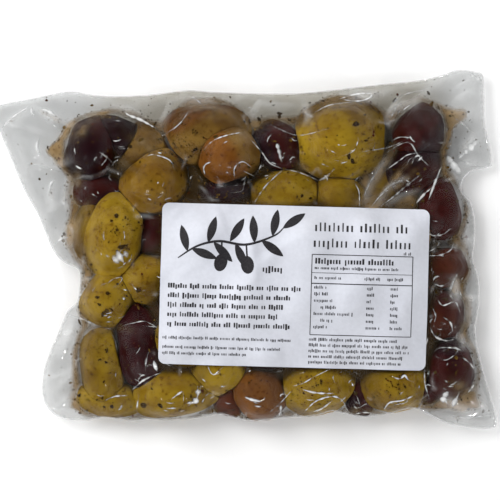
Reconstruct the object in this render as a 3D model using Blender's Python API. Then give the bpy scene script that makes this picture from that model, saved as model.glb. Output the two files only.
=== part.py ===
"""A sealed clear pouch of mixed olives in oil, lying on its back with its paper label up.

The pouch is one closed solid: two films that drape over a single layer of olives, meet in a thin
margin round it, and carry small pointed pockets of oil. The label is a second thin solid that lies
on the upper film.

The frame has its origin under the middle of the pouch, on the surface that it lies on, with +X along
the long side, +Y towards the label's top edge and +Z up. Lengths are in millimetres until a mesh is made.
"""

import math
from collections import namedtuple

import bmesh
import bpy
import numpy as np
from mathutils import Vector
from mathutils.geometry import delaunay_2d_cdt

MM = 0.001

# Films
MARGIN_THICKNESS = 0.5  # both films together, where they meet
SEAM_HEIGHT = 7.5  # of the margin where it leaves the olives
MARGIN_DROOP = 0.36  # how steeply the margin falls away from the olives
LEAST_SEAM_HEIGHT = 1.7  # of the margin's low outer parts
RIPPLE_HEIGHT = 0.55  # of each of the margin's soft waves
RIPPLES = ((34.0, 20.0, 0.4), (23.0, 75.0, 1.9), (47.0, 130.0, 3.1))  # wavelength, direction, phase
UPPER_PULL = 0.32  # curvature that the vacuum gives to free film on top, per millimetre
LABEL_PULL = 0.03  # the same under the stiff label
LOWER_PULL = 0.12  # and on the underside, where the oil settles
LABEL_HOLD = 3.0  # how far past its edges the label stiffens the film
FLATTENING = 0.7  # how far an olive is pressed flat where it rests
FOOT_SHARE = 0.85  # of the flat spot's radius that is sure to be flat

# Label
Label = namedtuple("Label", "x y width height turn corner")
LABEL = Label(x=17.9, y=-13.7, width=98.6, height=59.4, turn=-1.55, corner=2.6)
LABEL_THICKNESS = 0.25
LABEL_GAP = 0.3

# Mesh
FIELD_STEPS = (4.0, 2.0, 1.0)  # grid steps, coarse to fine, on which the films are worked out
FIELD_HALF = (98.0, 72.0)
RELAX_ROUNDS = 220
EDGE_STEP = 3.0
UPPER_STEP = 3.1
LOWER_STEP = 4.6
MARGIN_STEP = 4.6
LABEL_STEP = 4.0

# The film's outer edge, clockwise from its upper left corner
OUTLINE = (
    (-93.3, 51.5), (-92.0, 53.6), (-80.0, 56.0), (-72.0, 57.6), (-64.5, 58.6), (-56.0, 57.2), (-48.0, 56.7),
    (-36.0, 57.3), (-21.5, 59.0), (-12.0, 58.4), (5.0, 57.9), (20.0, 57.9), (35.0, 59.4), (50.0, 61.2),
    (64.0, 62.6), (73.0, 64.6), (79.0, 66.6), (85.0, 66.0), (88.4, 64.8), (89.0, 58.0), (89.3, 47.0),
    (91.3, 38.0), (92.1, 32.0), (90.6, 30.2), (84.5, 28.9), (80.9, 25.4), (80.6, 21.0), (84.0, 17.4),
    (85.6, 9.0), (85.2, 1.0), (84.6, -3.5), (86.8, -11.0), (87.1, -20.0), (85.8, -31.0), (88.0, -43.0),
    (91.5, -55.0), (93.7, -63.0), (92.4, -66.6), (85.0, -66.7), (75.0, -64.8), (66.0, -60.3), (61.0, -59.2),
    (51.0, -61.8), (43.0, -62.4), (36.0, -61.0), (32.0, -60.2), (26.0, -61.9), (14.0, -62.9), (1.0, -63.8),
    (-5.0, -62.4), (-9.5, -61.4), (-18.0, -62.9), (-28.0, -63.7), (-36.0, -63.4), (-42.0, -64.1),
    (-52.0, -62.6), (-60.0, -64.0), (-69.0, -62.6), (-74.6, -57.0), (-75.3, -48.0), (-73.0, -39.0),
    (-69.0, -30.0), (-66.0, -23.0), (-62.4, -19.6), (-61.4, -12.0), (-62.0, -7.4), (-67.0, -5.0),
    (-71.5, 0.0), (-77.0, 13.0), (-82.0, 22.0), (-88.0, 36.0), (-92.5, 47.0),
)

# Each olive: its middle, its length, width and height, the turn of its length from +X in degrees,
# and how far it is raised off the bottom of the pouch by its neighbours
Olive = namedtuple("Olive", "x y length width height turn rise")
OLIVES = tuple(
    Olive(*row)
    for row in (
        # along the top edge
        (-57.0, 37.5, 22.0, 18.5, 20.0, 70, 0.0),
        (-47.5, 42.0, 19.0, 14.5, 15.5, -15, 1.5),
        (-53.5, 21.5, 19.0, 13.0, 14.5, -5, 0.0),
        (-38.0, 37.0, 22.0, 15.5, 16.5, -35, 0.0),
        (-33.5, 25.0, 24.0, 21.5, 22.0, 60, 0.5),
        (-14.5, 42.5, 29.0, 21.0, 20.0, 5, 0.0),
        (-6.0, 34.5, 21.5, 19.0, 18.0, 15, 6.0),
        (-7.0, 19.5, 20.0, 14.0, 17.0, 5, 0.0),
        (12.0, 38.0, 18.0, 16.5, 17.5, -30, 0.0),
        (35.5, 40.5, 31.0, 25.5, 25.5, 8, 0.0),
        (14.0, 19.5, 25.0, 18.0, 20.0, 5, 0.0),
        (34.5, 18.0, 18.0, 18.0, 18.5, 60, 0.0),
        (64.5, 43.5, 20.0, 17.0, 18.5, 65, 0.5),
        (62.5, 30.0, 20.0, 16.5, 17.5, 55, 0.5),
        (50.0, 22.0, 18.0, 14.0, 12.5, 60, 0.0),
        # down the right side
        (71.5, 14.5, 21.0, 17.0, 18.5, 85, 0.0),
        (72.5, -6.5, 18.0, 15.0, 17.0, 10, 0.0),
        (72.5, -24.5, 18.0, 16.0, 17.5, 75, 0.0),
        (76.0, -44.0, 21.5, 17.5, 18.5, 100, 0.0),
        (69.5, -50.5, 15.0, 9.0, 10.5, 60, 1.0),
        # down the left side
        (-48.5, 5.0, 28.0, 20.0, 22.5, 85, 0.5),
        (-56.5, 6.5, 21.0, 13.5, 16.0, 80, 0.0),
        (-33.0, 6.0, 18.0, 14.0, 16.5, 80, 0.5),
        (-35.5, -11.0, 22.0, 18.0, 20.5, 10, 0.0),
        (-50.5, -18.5, 19.5, 18.5, 20.5, 60, 0.0),
        (-39.0, -35.5, 31.0, 17.0, 20.0, 98, 0.5),
        (-53.5, -43.5, 29.0, 15.0, 18.5, 95, 0.0),
        # along the bottom edge
        (-50.5, -55.5, 22.0, 12.5, 15.5, -8, 0.0),
        (-26.0, -53.3, 28.0, 17.5, 21.0, 6, 0.0),
        (-10.0, -44.0, 19.0, 17.0, 18.5, 30, 3.5),
        (5.5, -52.8, 20.5, 18.5, 20.0, -40, 0.0),
        (-5.5, -54.5, 14.0, 11.0, 13.0, 80, 0.5),
        (26.5, -51.0, 26.0, 19.0, 21.5, 10, 0.0),
        (43.0, -53.5, 16.5, 11.0, 14.5, 75, 0.5),
        (55.0, -50.5, 22.5, 18.5, 21.0, -5, 0.0),
        # under the label, on top of others
        (-15.0, 3.0, 24.0, 20.0, 21.5, 20, 4.5),
        (4.0, 2.5, 21.0, 16.0, 18.5, 75, 7.5),
        (23.0, 0.0, 26.0, 20.0, 21.5, 10, 7.0),
        (45.0, 3.0, 21.0, 17.0, 19.5, 100, 6.5),
        (59.0, 2.0, 22.0, 17.0, 19.5, 80, 3.0),
        (-20.0, -16.0, 23.0, 16.0, 18.5, 25, 6.0),
        (1.0, -18.0, 24.0, 20.0, 21.5, 85, 8.0),
        (20.0, -20.0, 23.0, 18.0, 20.5, 140, 8.5),
        (39.0, -17.0, 24.0, 20.0, 21.5, 60, 8.0),
        (58.0, -17.0, 22.0, 17.0, 18.5, 85, 5.0),
        (-22.0, -34.0, 22.0, 17.0, 20.0, -15, 3.5),
        (9.0, -37.0, 21.0, 14.0, 17.0, 5, 6.0),
        (30.0, -36.0, 20.0, 14.0, 17.5, -10, 6.0),
        (50.0, -33.5, 24.0, 17.0, 20.0, 5, 4.5),
        # the lower layer beneath them
        (-7.0, -7.0, 20.0, 15.0, 16.5, 30, 0.0),
        (13.0, -9.0, 21.0, 15.0, 17.0, 120, 0.0),
        (32.0, -8.0, 20.0, 15.0, 16.5, 70, 0.0),
        (51.0, -7.0, 19.0, 14.0, 16.0, 10, 0.0),
        (-9.0, -27.0, 20.0, 15.0, 16.5, 100, 0.0),
        (10.5, -28.0, 20.0, 14.0, 16.0, 20, 0.0),
        (29.0, -27.0, 21.0, 15.0, 16.5, 150, 0.0),
        (47.0, -24.0, 20.0, 15.0, 17.0, 60, 0.0),
        (-28.0, -24.0, 19.0, 14.0, 15.5, 110, 0.0),
        (33.0, 8.0, 18.0, 13.0, 14.5, 0, 0.0),
    )
)

# Oil squeezed between the films: a pocket runs from the olives to its tip, and tapers in width and depth
Pocket = namedtuple("Pocket", "x y tip_x tip_y width depth")
POCKETS = tuple(
    Pocket(*row)
    for row in (
        (-62.0, 36.5, -75.5, 36.6, 15.0, 8.0),
        (-61.0, 42.0, -68.5, 45.5, 7.0, 4.5),
        (-54.0, 44.0, -54.5, 52.0, 7.0, 4.5),
        (-60.0, 6.5, -64.0, 6.5, 8.0, 6.0),
        (-57.0, -56.5, -67.0, -59.0, 8.0, 5.0),
        (80.0, -52.0, 88.0, -60.6, 8.0, 5.5),
        (76.5, -52.5, 82.0, -61.0, 9.0, 6.0),
        (72.0, -53.0, 75.5, -60.5, 7.0, 5.0),
        (70.0, 46.0, 83.5, 51.3, 11.0, 6.5),
        (-15.0, 49.0, -16.0, 55.0, 12.0, 6.0),
        (34.0, 50.0, 33.5, 54.0, 9.0, 5.0),
    )
)
POCKET_TIP = 0.12  # the tip's share of a pocket's width and depth

CONTENTS_BLEND = 2.0  # how softly the olives' distances join
CONTENTS_BORDER = 1.5  # how far the contents' finer triangles reach past the olives

FILM_COLOUR = (0.42, 0.34, 0.13, 1.0)
LABEL_COLOUR = (0.74, 0.75, 0.80, 1.0)


def closed_curve(points, step):
    """Points every step along the smooth closed curve through the given ones."""
    points = np.array(points, float)
    share = np.linspace(0.0, 1.0, 12, endpoint=False)[:, None]
    dense = []
    for i in range(len(points)):
        a, b, c, d = (points[(i + k) % len(points)] for k in (-1, 0, 1, 2))
        dense.append(
            0.5 * (2 * b + (c - a) * share + (2 * a - 5 * b + 4 * c - d) * share**2
                   + (3 * b - a - 3 * c + d) * share**3)
        )
    dense = np.concatenate([*dense, dense[0][:1]])
    run = np.concatenate([[0.0], np.cumsum(np.linalg.norm(np.diff(dense, axis=0), axis=1))])
    places = np.linspace(0.0, run[-1], max(8, round(run[-1] / step)), endpoint=False)
    return np.stack([np.interp(places, run, dense[:, k]) for k in (0, 1)], axis=1)


def rounded_rectangle(width, height, corner, step):
    """Points round a rectangle with round corners, about the origin."""
    turns = np.radians(np.linspace(0.0, 90.0, 4))
    points = []
    for quarter, (sx, sy) in enumerate(((1, 1), (-1, 1), (-1, -1), (1, -1))):
        middle = np.array([sx * (width / 2 - corner), sy * (height / 2 - corner)])
        angles = turns + math.radians(90.0 * quarter)
        points.extend(middle + corner * np.stack([np.cos(angles), np.sin(angles)], axis=1))
    filled = []
    for start, end in zip(points, points[1:] + points[:1]):
        count = max(1, round(float(np.linalg.norm(end - start)) / step))
        filled.extend(start + (end - start) * k / count for k in range(count))
    return np.array(filled)


def turned(x, y, degrees):
    """x and y in axes that are turned by the given angle."""
    c, s = math.cos(math.radians(degrees)), math.sin(math.radians(degrees))
    return x * c + y * s, y * c - x * s


def inside(points, outline):
    """True for each point that the outline holds."""
    x, y = points[:, 0][:, None], points[:, 1][:, None]
    x0, y0 = outline[:, 0], outline[:, 1]
    x1, y1 = np.roll(x0, -1), np.roll(y0, -1)
    crosses = ((y0 > y) != (y1 > y)) & (x < (x1 - x0) * (y - y0) / np.where(y1 == y0, 1.0, y1 - y0) + x0)
    return crosses.sum(axis=1) % 2 == 1


def distance_to(points, outline):
    """Each point's distance to the nearest stretch of the outline."""
    start, along = outline, np.roll(outline, -1, axis=0) - outline
    offset = points[:, None] - start
    share = np.clip((offset * along).sum(-1) / (along**2).sum(-1), 0.0, 1.0)
    return np.linalg.norm(offset - share[..., None] * along, axis=-1).min(axis=1)


def olive_heights(x, y, olive):
    """(underside, top) of one olive above the surface, and its reach: under 1 where the olive is."""
    u, v = turned(x - olive.x, y - olive.y, olive.turn)
    reach = np.sqrt((2 * u / olive.length) ** 2 + (2 * v / olive.width) ** 2)
    half = olive.height / 2 * np.sqrt(np.clip(1 - reach**2, 0.0, 1.0))
    middle = olive.rise - FLATTENING + olive.height / 2
    return middle - half, middle + half, reach


def pocket_half_depth(x, y, pocket):
    """Half the depth of the oil in a pocket, and 0 outside it."""
    start = np.array([pocket.x, pocket.y])
    along = np.array([pocket.tip_x, pocket.tip_y]) - start
    share = np.clip(((x - start[0]) * along[0] + (y - start[1]) * along[1]) / (along @ along), 0.0, 1.0)
    aside = np.hypot(x - start[0] - share * along[0], y - start[1] - share * along[1])
    taper = 1 - (1 - POCKET_TIP) * share
    round_share = np.clip(1 - (2 * aside / (pocket.width * taper)) ** 2, 0.0, 1.0)
    return pocket.depth / 2 * taper * np.sqrt(round_share)


def distance_from_olives(x, y):
    """Roughly how far each point lies outside the olives, joined softly between them."""
    total = np.zeros_like(x)
    for olive in OLIVES:
        reach = olive_heights(x, y, olive)[2]
        gap = (reach - 1) * math.sqrt(olive.length * olive.width) / 2
        total += np.exp(-np.clip(gap, -6.0, 60.0) / CONTENTS_BLEND)
    return np.maximum(-CONTENTS_BLEND * np.log(total), 0.0)


def seam_heights(x, y):
    """Height of the sheet in which the films meet: level among the olives, drooping and rippled outside."""
    away = distance_from_olives(x, y)
    fall = SEAM_HEIGHT - LEAST_SEAM_HEIGHT
    height = LEAST_SEAM_HEIGHT + fall * np.exp(-away * MARGIN_DROOP / fall)
    for wavelength, direction, phase in RIPPLES:
        along = turned(x, y, direction)[0]
        height += RIPPLE_HEIGHT * np.sin(2 * math.pi * along / wavelength + phase) * (1 - np.exp(-away / 6.0))
    return np.maximum(height, LEAST_SEAM_HEIGHT - 1.0)


def under_label(x, y, border):
    """True where the label, widened by border, lies."""
    u, v = turned(x - LABEL.x, y - LABEL.y, LABEL.turn)
    return (np.abs(u) < LABEL.width / 2 + border) & (np.abs(v) < LABEL.height / 2 + border)


class Films:
    """The heights of the upper and lower film on a grid, as the vacuum draws them against what they hold."""

    def __init__(self, outline):
        self.upper = self.lower = None
        for step in FIELD_STEPS:
            self._solve(step, outline)

    def _solve(self, step, outline):
        half_x, half_y = FIELD_HALF
        xs = np.arange(-half_x, half_x + step / 2, step)
        ys = np.arange(-half_y, half_y + step / 2, step)
        x, y = np.meshgrid(xs, ys, indexing="ij")
        seam = seam_heights(x, y)
        top, underside = seam + MARGIN_THICKNESS / 2, seam - MARGIN_THICKNESS / 2
        for olive in OLIVES:
            low, high, reach = olive_heights(x, y, olive)
            top = np.where(reach < 1, np.maximum(top, high), top)
            underside = np.where(reach < 1, np.minimum(underside, low), underside)
        for pocket in POCKETS:
            half = pocket_half_depth(x, y, pocket)
            top = np.where(half > 0, np.maximum(top, seam + half), top)
            underside = np.where(half > 0, np.minimum(underside, seam - half), underside)
        free = inside(np.stack([x.ravel(), y.ravel()], axis=1), outline).reshape(x.shape)
        upper_pull = np.where(under_label(x, y, LABEL_HOLD), LABEL_PULL, UPPER_PULL) * step**2 / 4
        lower_pull = LOWER_PULL * step**2 / 4
        upper_start = top if self.upper is None else self.at(self.upper, x, y)
        lower_start = underside if self.lower is None else self.at(self.lower, x, y)
        underside = np.maximum(underside, 0.0)
        upper = np.where(free, np.maximum(upper_start, top), seam + MARGIN_THICKNESS / 2)
        lower = np.where(free, np.minimum(lower_start, underside), seam - MARGIN_THICKNESS / 2)
        for _ in range(RELAX_ROUNDS):
            upper = np.where(free, np.maximum(self._average(upper) - upper_pull, top), upper)
            lower = np.where(free, np.clip(self._average(lower) + lower_pull, 0.0, underside), lower)
        self.xs, self.ys, self.step = xs, ys, step
        self.upper, self.lower = upper, lower

    @staticmethod
    def _average(field):
        wide = np.pad(field, 1, mode="edge")
        return (wide[2:, 1:-1] + wide[:-2, 1:-1] + wide[1:-1, 2:] + wide[1:-1, :-2]) / 4

    def at(self, field, x, y):
        """The field's value between its grid points."""
        i = np.clip((x - self.xs[0]) / self.step, 0, len(self.xs) - 1.001)
        j = np.clip((y - self.ys[0]) / self.step, 0, len(self.ys) - 1.001)
        i0, j0 = i.astype(int), j.astype(int)
        p, q = i - i0, j - j0
        near = field[i0, j0] * (1 - p) + field[i0 + 1, j0] * p
        far = field[i0, j0 + 1] * (1 - p) + field[i0 + 1, j0 + 1] * p
        return near * (1 - q) + far * q


def lattice(outline, step):
    """Points of a triangular lattice that lie inside the outline and clear of its edge."""
    low, high = outline.min(axis=0), outline.max(axis=0)
    rows = []
    for k, y in enumerate(np.arange(low[1], high[1], step * math.sqrt(0.75))):
        xs = np.arange(low[0] + (k % 2) * step / 2, high[0], step)
        rows.append(np.stack([xs, np.full_like(xs, y)], axis=1))
    points = np.concatenate(rows)
    points = points[inside(points, outline)]
    return points[distance_to(points, outline) > 0.55 * step]


def triangles_inside(outline, points):
    """(points, triangles) that fill the outline: its own points come first, and triangles face up."""
    count = len(outline)
    given = [Vector(p) for p in np.concatenate([outline, points])]
    ring = [(i, (i + 1) % count) for i in range(count)]
    made, _, faces, *_ = delaunay_2d_cdt(given, ring, [], 0, 1e-6, False)
    flat = np.array([(p.x, p.y) for p in made])
    assert len(flat) == len(given), "two of the points fell together"
    corners = np.array(faces)
    corners = corners[inside(flat[corners].mean(axis=1), outline)]
    a, b, c = (flat[corners[:, k]] for k in range(3))
    backwards = (b[:, 0] - a[:, 0]) * (c[:, 1] - a[:, 1]) < (b[:, 1] - a[:, 1]) * (c[:, 0] - a[:, 0])
    corners[backwards] = corners[backwards][:, ::-1]
    return flat, corners


def sheet_solid(name, ring_size, upper, lower):
    """A closed object between two sheets of (points, triangles), whose first ring_size points match."""
    mesh = bpy.data.meshes.new(name)
    shift = len(upper[0])
    faces = [tuple(int(i) for i in t) for t in upper[1]]
    faces += [tuple(int(i) + shift for i in t[::-1]) for t in lower[1]]
    for i in range(ring_size):
        j = (i + 1) % ring_size
        faces += [(j, i, shift + i), (j, shift + i, shift + j)]
    mesh.from_pydata((np.concatenate([upper[0], lower[0]]) * MM).tolist(), [], faces)
    bm = bmesh.new()
    bm.from_mesh(mesh)
    bmesh.ops.recalc_face_normals(bm, faces=bm.faces)
    bm.to_mesh(mesh)
    bm.free()
    mesh.shade_smooth()
    obj = bpy.data.objects.new(name, mesh)
    bpy.context.scene.collection.objects.link(obj)
    return obj


def foot_points():
    """The middle and a hexagon of the flat spot under each olive that rests on the surface."""
    angles = np.radians(np.arange(0.0, 360.0, 60.0))
    hexagon = np.stack([np.cos(angles), np.sin(angles)], axis=1)
    points = []
    for olive in OLIVES:
        if olive.rise == 0:
            depth = 2 * FLATTENING / olive.height
            radius = FOOT_SHARE * olive.width / 2 * math.sqrt(2 * depth - depth**2)
            spot = np.array([olive.x, olive.y])
            points += [spot, *(spot + radius * hexagon)]
    return np.array(points)


def nearest(points, others):
    """Each point's distance to the nearest of the others."""
    return np.linalg.norm(points[:, None] - others, axis=-1).min(axis=1)


def label_triangles():
    """(points, triangles) of the label as it lies on the pouch, and how many of the points are its edge."""
    edge = rounded_rectangle(LABEL.width, LABEL.height, LABEL.corner, LABEL_STEP)
    flat, triangles = triangles_inside(edge, lattice(edge, LABEL_STEP))
    x, y = turned(flat[:, 0], flat[:, 1], -LABEL.turn)
    return np.stack([x + LABEL.x, y + LABEL.y], axis=1), triangles, len(edge)


def make_pouch(films, outline):
    """Both films and all that they hold, as one closed solid. Its triangles match the label's beneath it."""
    margin = lattice(outline, MARGIN_STEP)
    margin = margin[distance_from_olives(*margin.T) > CONTENTS_BORDER]
    above = lattice(outline, UPPER_STEP)
    above = above[distance_from_olives(*above.T) <= CONTENTS_BORDER]
    above = above[~under_label(*above.T, UPPER_STEP / 2)]
    above = np.concatenate([above, label_triangles()[0]])
    below = lattice(outline, LOWER_STEP)
    below = below[distance_from_olives(*below.T) <= CONTENTS_BORDER]
    feet = foot_points()
    below = np.concatenate([feet, below[nearest(below, feet) > LOWER_STEP / 3]])
    sheets = []
    for field, points in ((films.upper, above), (films.lower, below)):
        flat, triangles = triangles_inside(outline, np.concatenate([margin, points]))
        heights = films.at(field, *flat.T)
        sheets.append((np.column_stack([flat, heights]), triangles))
    lower = sheets[1][0]
    lower[nearest(lower[:, :2], feet) < 1e-4, 2] = 0.0
    return sheet_solid("pouch", len(outline), *sheets)


def make_label(films):
    """The paper label, a thin sheet that follows the upper film just above it."""
    flat, triangles, edge_size = label_triangles()
    height = films.at(films.upper, *flat.T) + LABEL_GAP
    upper = np.column_stack([flat, height + LABEL_THICKNESS]), triangles
    lower = np.column_stack([flat, height]), triangles
    return sheet_solid("label", edge_size, upper, lower)


def coat(obj, name, colour, roughness):
    """Gives the object its one material."""
    material = bpy.data.materials.new(name)
    material.use_nodes = True
    shader = material.node_tree.nodes["Principled BSDF"]
    shader.inputs["Base Color"].default_value = colour
    shader.inputs["Roughness"].default_value = roughness
    shader.inputs["Metallic"].default_value = 0.0
    obj.data.materials.append(material)


def main():
    for obj in list(bpy.data.objects):
        bpy.data.objects.remove(obj, do_unlink=True)
    outline = closed_curve(OUTLINE, EDGE_STEP)
    outline -= (outline.min(axis=0) + outline.max(axis=0)) / 2
    films = Films(outline)
    coat(make_pouch(films, outline), "clear_film", FILM_COLOUR, 0.12)
    coat(make_label(films), "label_paper", LABEL_COLOUR, 0.6)


main()
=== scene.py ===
"""The looks of a sealed clear pouch of mixed olives in cloudy herbed oil, lying with its paper label up.

Lengths are in millimetres until a mesh is made. The frame is the part's: +X along the long side, +Y towards
the label's top edge, +Z up, with the origin under the middle of the pouch.
"""

import math
from collections import namedtuple

import bmesh
import bpy
import numpy as np
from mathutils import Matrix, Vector, noise
from mathutils.geometry import delaunay_2d_cdt


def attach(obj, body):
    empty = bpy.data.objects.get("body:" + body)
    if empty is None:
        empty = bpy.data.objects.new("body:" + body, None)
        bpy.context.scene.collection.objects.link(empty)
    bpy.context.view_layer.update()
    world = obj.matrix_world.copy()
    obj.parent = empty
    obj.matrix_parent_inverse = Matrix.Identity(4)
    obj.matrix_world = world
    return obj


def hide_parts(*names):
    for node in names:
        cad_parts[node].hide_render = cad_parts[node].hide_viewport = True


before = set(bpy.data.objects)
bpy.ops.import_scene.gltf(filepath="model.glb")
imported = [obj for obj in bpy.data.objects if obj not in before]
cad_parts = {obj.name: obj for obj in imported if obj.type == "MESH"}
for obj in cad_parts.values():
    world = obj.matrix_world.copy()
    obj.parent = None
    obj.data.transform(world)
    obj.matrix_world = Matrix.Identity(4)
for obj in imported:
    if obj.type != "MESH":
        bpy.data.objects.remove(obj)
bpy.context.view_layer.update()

MM = 0.001

# Films, as in the part
MARGIN_THICKNESS = 0.5
SEAM_HEIGHT = 7.5
MARGIN_DROOP = 0.36
LEAST_SEAM_HEIGHT = 1.7
RIPPLE_HEIGHT = 0.55
RIPPLES = ((34.0, 20.0, 0.4), (23.0, 75.0, 1.9), (47.0, 130.0, 3.1))
UPPER_PULL = 0.32
LABEL_PULL = 0.03
LOWER_PULL = 0.12
LABEL_HOLD = 3.0
FLATTENING = 0.7
CONTENTS_BLEND = 2.0
POCKET_TIP = 0.12
FIELD_STEPS = (4.0, 2.0, 1.0, 0.5)
FIELD_HALF = (98.0, 72.0)
RELAX_ROUNDS = 220
EVENING_ROUNDS = 3

# Crumples, pleats and creases of the upper film
NOISE_SEED = 7  # without it noise_vector differs from run to run
FACET_SIZE = 13.0
FACET_BEND = 4.0
RIDGE_HEIGHT = 0.60  # of the lines between facets, where the film is free
RIDGE_WIDTH = 0.055  # as a share of a facet
SOFT_HEIGHT = 0.15
FINE_HEIGHT = 0.05
MARGIN_WAVES = 0.45
PLEAT_HEIGHT = 0.2  # as a share of a pleat's width
CREASE_WIDTH = 1.1  # of the widths in the list below
CREASE_DIP = 0.06  # how far a crease's edges lie below the film, so that it joins on
SMALL_FOLDS = 190
FOLDED_AREA = ((-80.0, -63.0), (88.0, 58.0))
FRONT = (0.5, -0.87)  # in plan, the way to the front light
MARGIN_WHITE_RIGHT = 0.13  # whiteness of the margin at the right, and below at the left
MARGIN_WHITE_LOW_LEFT = 0.12

# Meshes
EDGE_STEP = 0.8
UPPER_STEP = 0.62
LOWER_STEP = 1.3
HIDDEN_STEP = 2.2
HIDDEN_INSET = 2.0  # the coarser film starts this far inside the label's edge
OIL_STEP = 0.95
LABEL_STEP = 0.65

# Layers, inwards from the film
HERB_DEPTH = 0.06
HERB_THICKNESS = 0.04
HERB_COUNT = 5000
HERBS_ABOVE = 3500
OIL_DEPTH = 0.12
OLIVE_DEPTH = 0.32
SWELLING = (1.22, 1.22, 1.04)  # an olive's growth along its length, width and height, where it has room
OLIVE_GAP = 0.012  # between pressed neighbours, as a share of their half sizes
OLIVE_DETAIL = 5
DARK_UNEVENNESS = 2.2  # times that of the other olives
SQUARENESS = 2.3  # 2 is a plain oval
FACETS = 9  # flat places that neighbours and film have pressed on an olive
CONTACT_BLEND = 0.22  # softness of the line where an olive leaves the film
THINNEST_OLIVE = 1.35  # of the space between the films
THINNEST_OIL = 1.0
FULL_OIL = 1.6  # space beyond the thinnest at which oil shows in full
DEPTH_ROUNDS = 8  # of evening out the oil's depth
OIL_REACH = 2.0  # depth of clear oil that hides most of what is under it
MILKY_LOSS = 1.1  # how much less of milky oil does
VEIL = 0.8  # depth that a streak of cloudy oil seems to add

Label = namedtuple("Label", "x y width height turn corner")
LABEL = Label(x=17.9, y=-13.7, width=98.6, height=59.4, turn=-1.55, corner=2.6)
LABEL_GAP = 0.32
LABEL_THICKNESS = 0.22
PRINT_THICKNESS = 0.05
LABEL_WAVES = ((15.0, 1.5), (5.0, 0.35))  # width of the soft waves in the paper, and their height
LABEL_LIFT = 0.25  # on top of its waves and creases
LABEL_ROUNDS = 5  # of evening out the label

OUTLINE = (
    (-93.3, 51.5), (-92.0, 53.6), (-80.0, 56.0), (-72.0, 57.6), (-64.5, 58.6), (-56.0, 57.2), (-48.0, 56.7),
    (-36.0, 57.3), (-21.5, 59.0), (-12.0, 58.4), (5.0, 57.9), (20.0, 57.9), (35.0, 59.4), (50.0, 61.2),
    (64.0, 62.6), (73.0, 64.6), (79.0, 66.6), (85.0, 66.0), (88.4, 64.8), (89.0, 58.0), (89.3, 47.0),
    (91.3, 38.0), (92.1, 32.0), (90.6, 30.2), (84.5, 28.9), (80.9, 25.4), (80.6, 21.0), (84.0, 17.4),
    (85.6, 9.0), (85.2, 1.0), (84.6, -3.5), (86.8, -11.0), (87.1, -20.0), (85.8, -31.0), (88.0, -43.0),
    (91.5, -55.0), (93.7, -63.0), (92.4, -66.6), (85.0, -66.7), (75.0, -64.8), (66.0, -60.3), (61.0, -59.2),
    (51.0, -61.8), (43.0, -62.4), (36.0, -61.0), (32.0, -60.2), (26.0, -61.9), (14.0, -62.9), (1.0, -63.8),
    (-5.0, -62.4), (-9.5, -61.4), (-18.0, -62.9), (-28.0, -63.7), (-36.0, -63.4), (-42.0, -64.1),
    (-52.0, -62.6), (-60.0, -64.0), (-69.0, -62.6), (-74.6, -57.0), (-75.3, -48.0), (-73.0, -39.0),
    (-69.0, -30.0), (-66.0, -23.0), (-62.4, -19.6), (-61.4, -12.0), (-62.0, -7.4), (-67.0, -5.0),
    (-71.5, 0.0), (-77.0, 13.0), (-82.0, 22.0), (-88.0, 36.0), (-92.5, 47.0),
)

WALL_LIGHT = 1.6
CEILING_LIGHT = 0.08

# The camera, in metres but for its sensor: the view is VIEW_WIDTH wide at VIEWED_HEIGHT
CAMERA_PLACE = (0.00167, -0.0002, 1.5)
SENSOR = 36.0
VIEWED_HEIGHT = 0.012
VIEW_WIDTH = 0.185

# Pale is milky oil. The dark brown is painted shade for oil deep between the olives. The amber by the seal is
# the oil's own colour, made lighter as painted light where the layer is thin.
PALE_OIL = np.array([0.41, 0.285, 0.145])
SHADED_BROWN_OIL = np.array([0.050, 0.029, 0.008])
LIT_AMBER_OIL = np.array([0.26, 0.16, 0.05])

HERB_COLOURS = np.array([(0.060, 0.032, 0.006), (0.100, 0.055, 0.009), (0.024, 0.013, 0.003),
                         (0.200, 0.110, 0.018), (0.120, 0.016, 0.006)])
HERB_SHARES = (0.34, 0.22, 0.14, 0.22, 0.08)

# Skin colours, as the flesh under clear oil shows them
TONES = {
    "yellow_green": (0.385, 0.243, 0.016),
    "green": (0.315, 0.196, 0.014),
    "deep_green": (0.210, 0.126, 0.009),
    "gold": (0.250, 0.135, 0.013),
    "khaki": (0.225, 0.126, 0.026),
    "russet": (0.225, 0.085, 0.014),
    "umber": (0.165, 0.066, 0.018),
    "brick": (0.115, 0.030, 0.012),
    "chestnut": (0.088, 0.024, 0.013),
    "plum": (0.018, 0.004, 0.007),
    "wine": (0.048, 0.007, 0.006),
    "maroon": (0.030, 0.002, 0.003),
}

# Each kind: name, seed, colour of its flecks, pattern value from which they show, roughness and wrinkles
KINDS = (
    ("green", 11, (0.11, 0.055, 0.008), 0.69, 0.42, 0.4),
    ("turning", 12, (0.08, 0.028, 0.009), 0.68, 0.42, 0.4),
    ("dark", 13, (0.09, 0.028, 0.012), 0.70, 0.46, 0.6),
)

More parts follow.
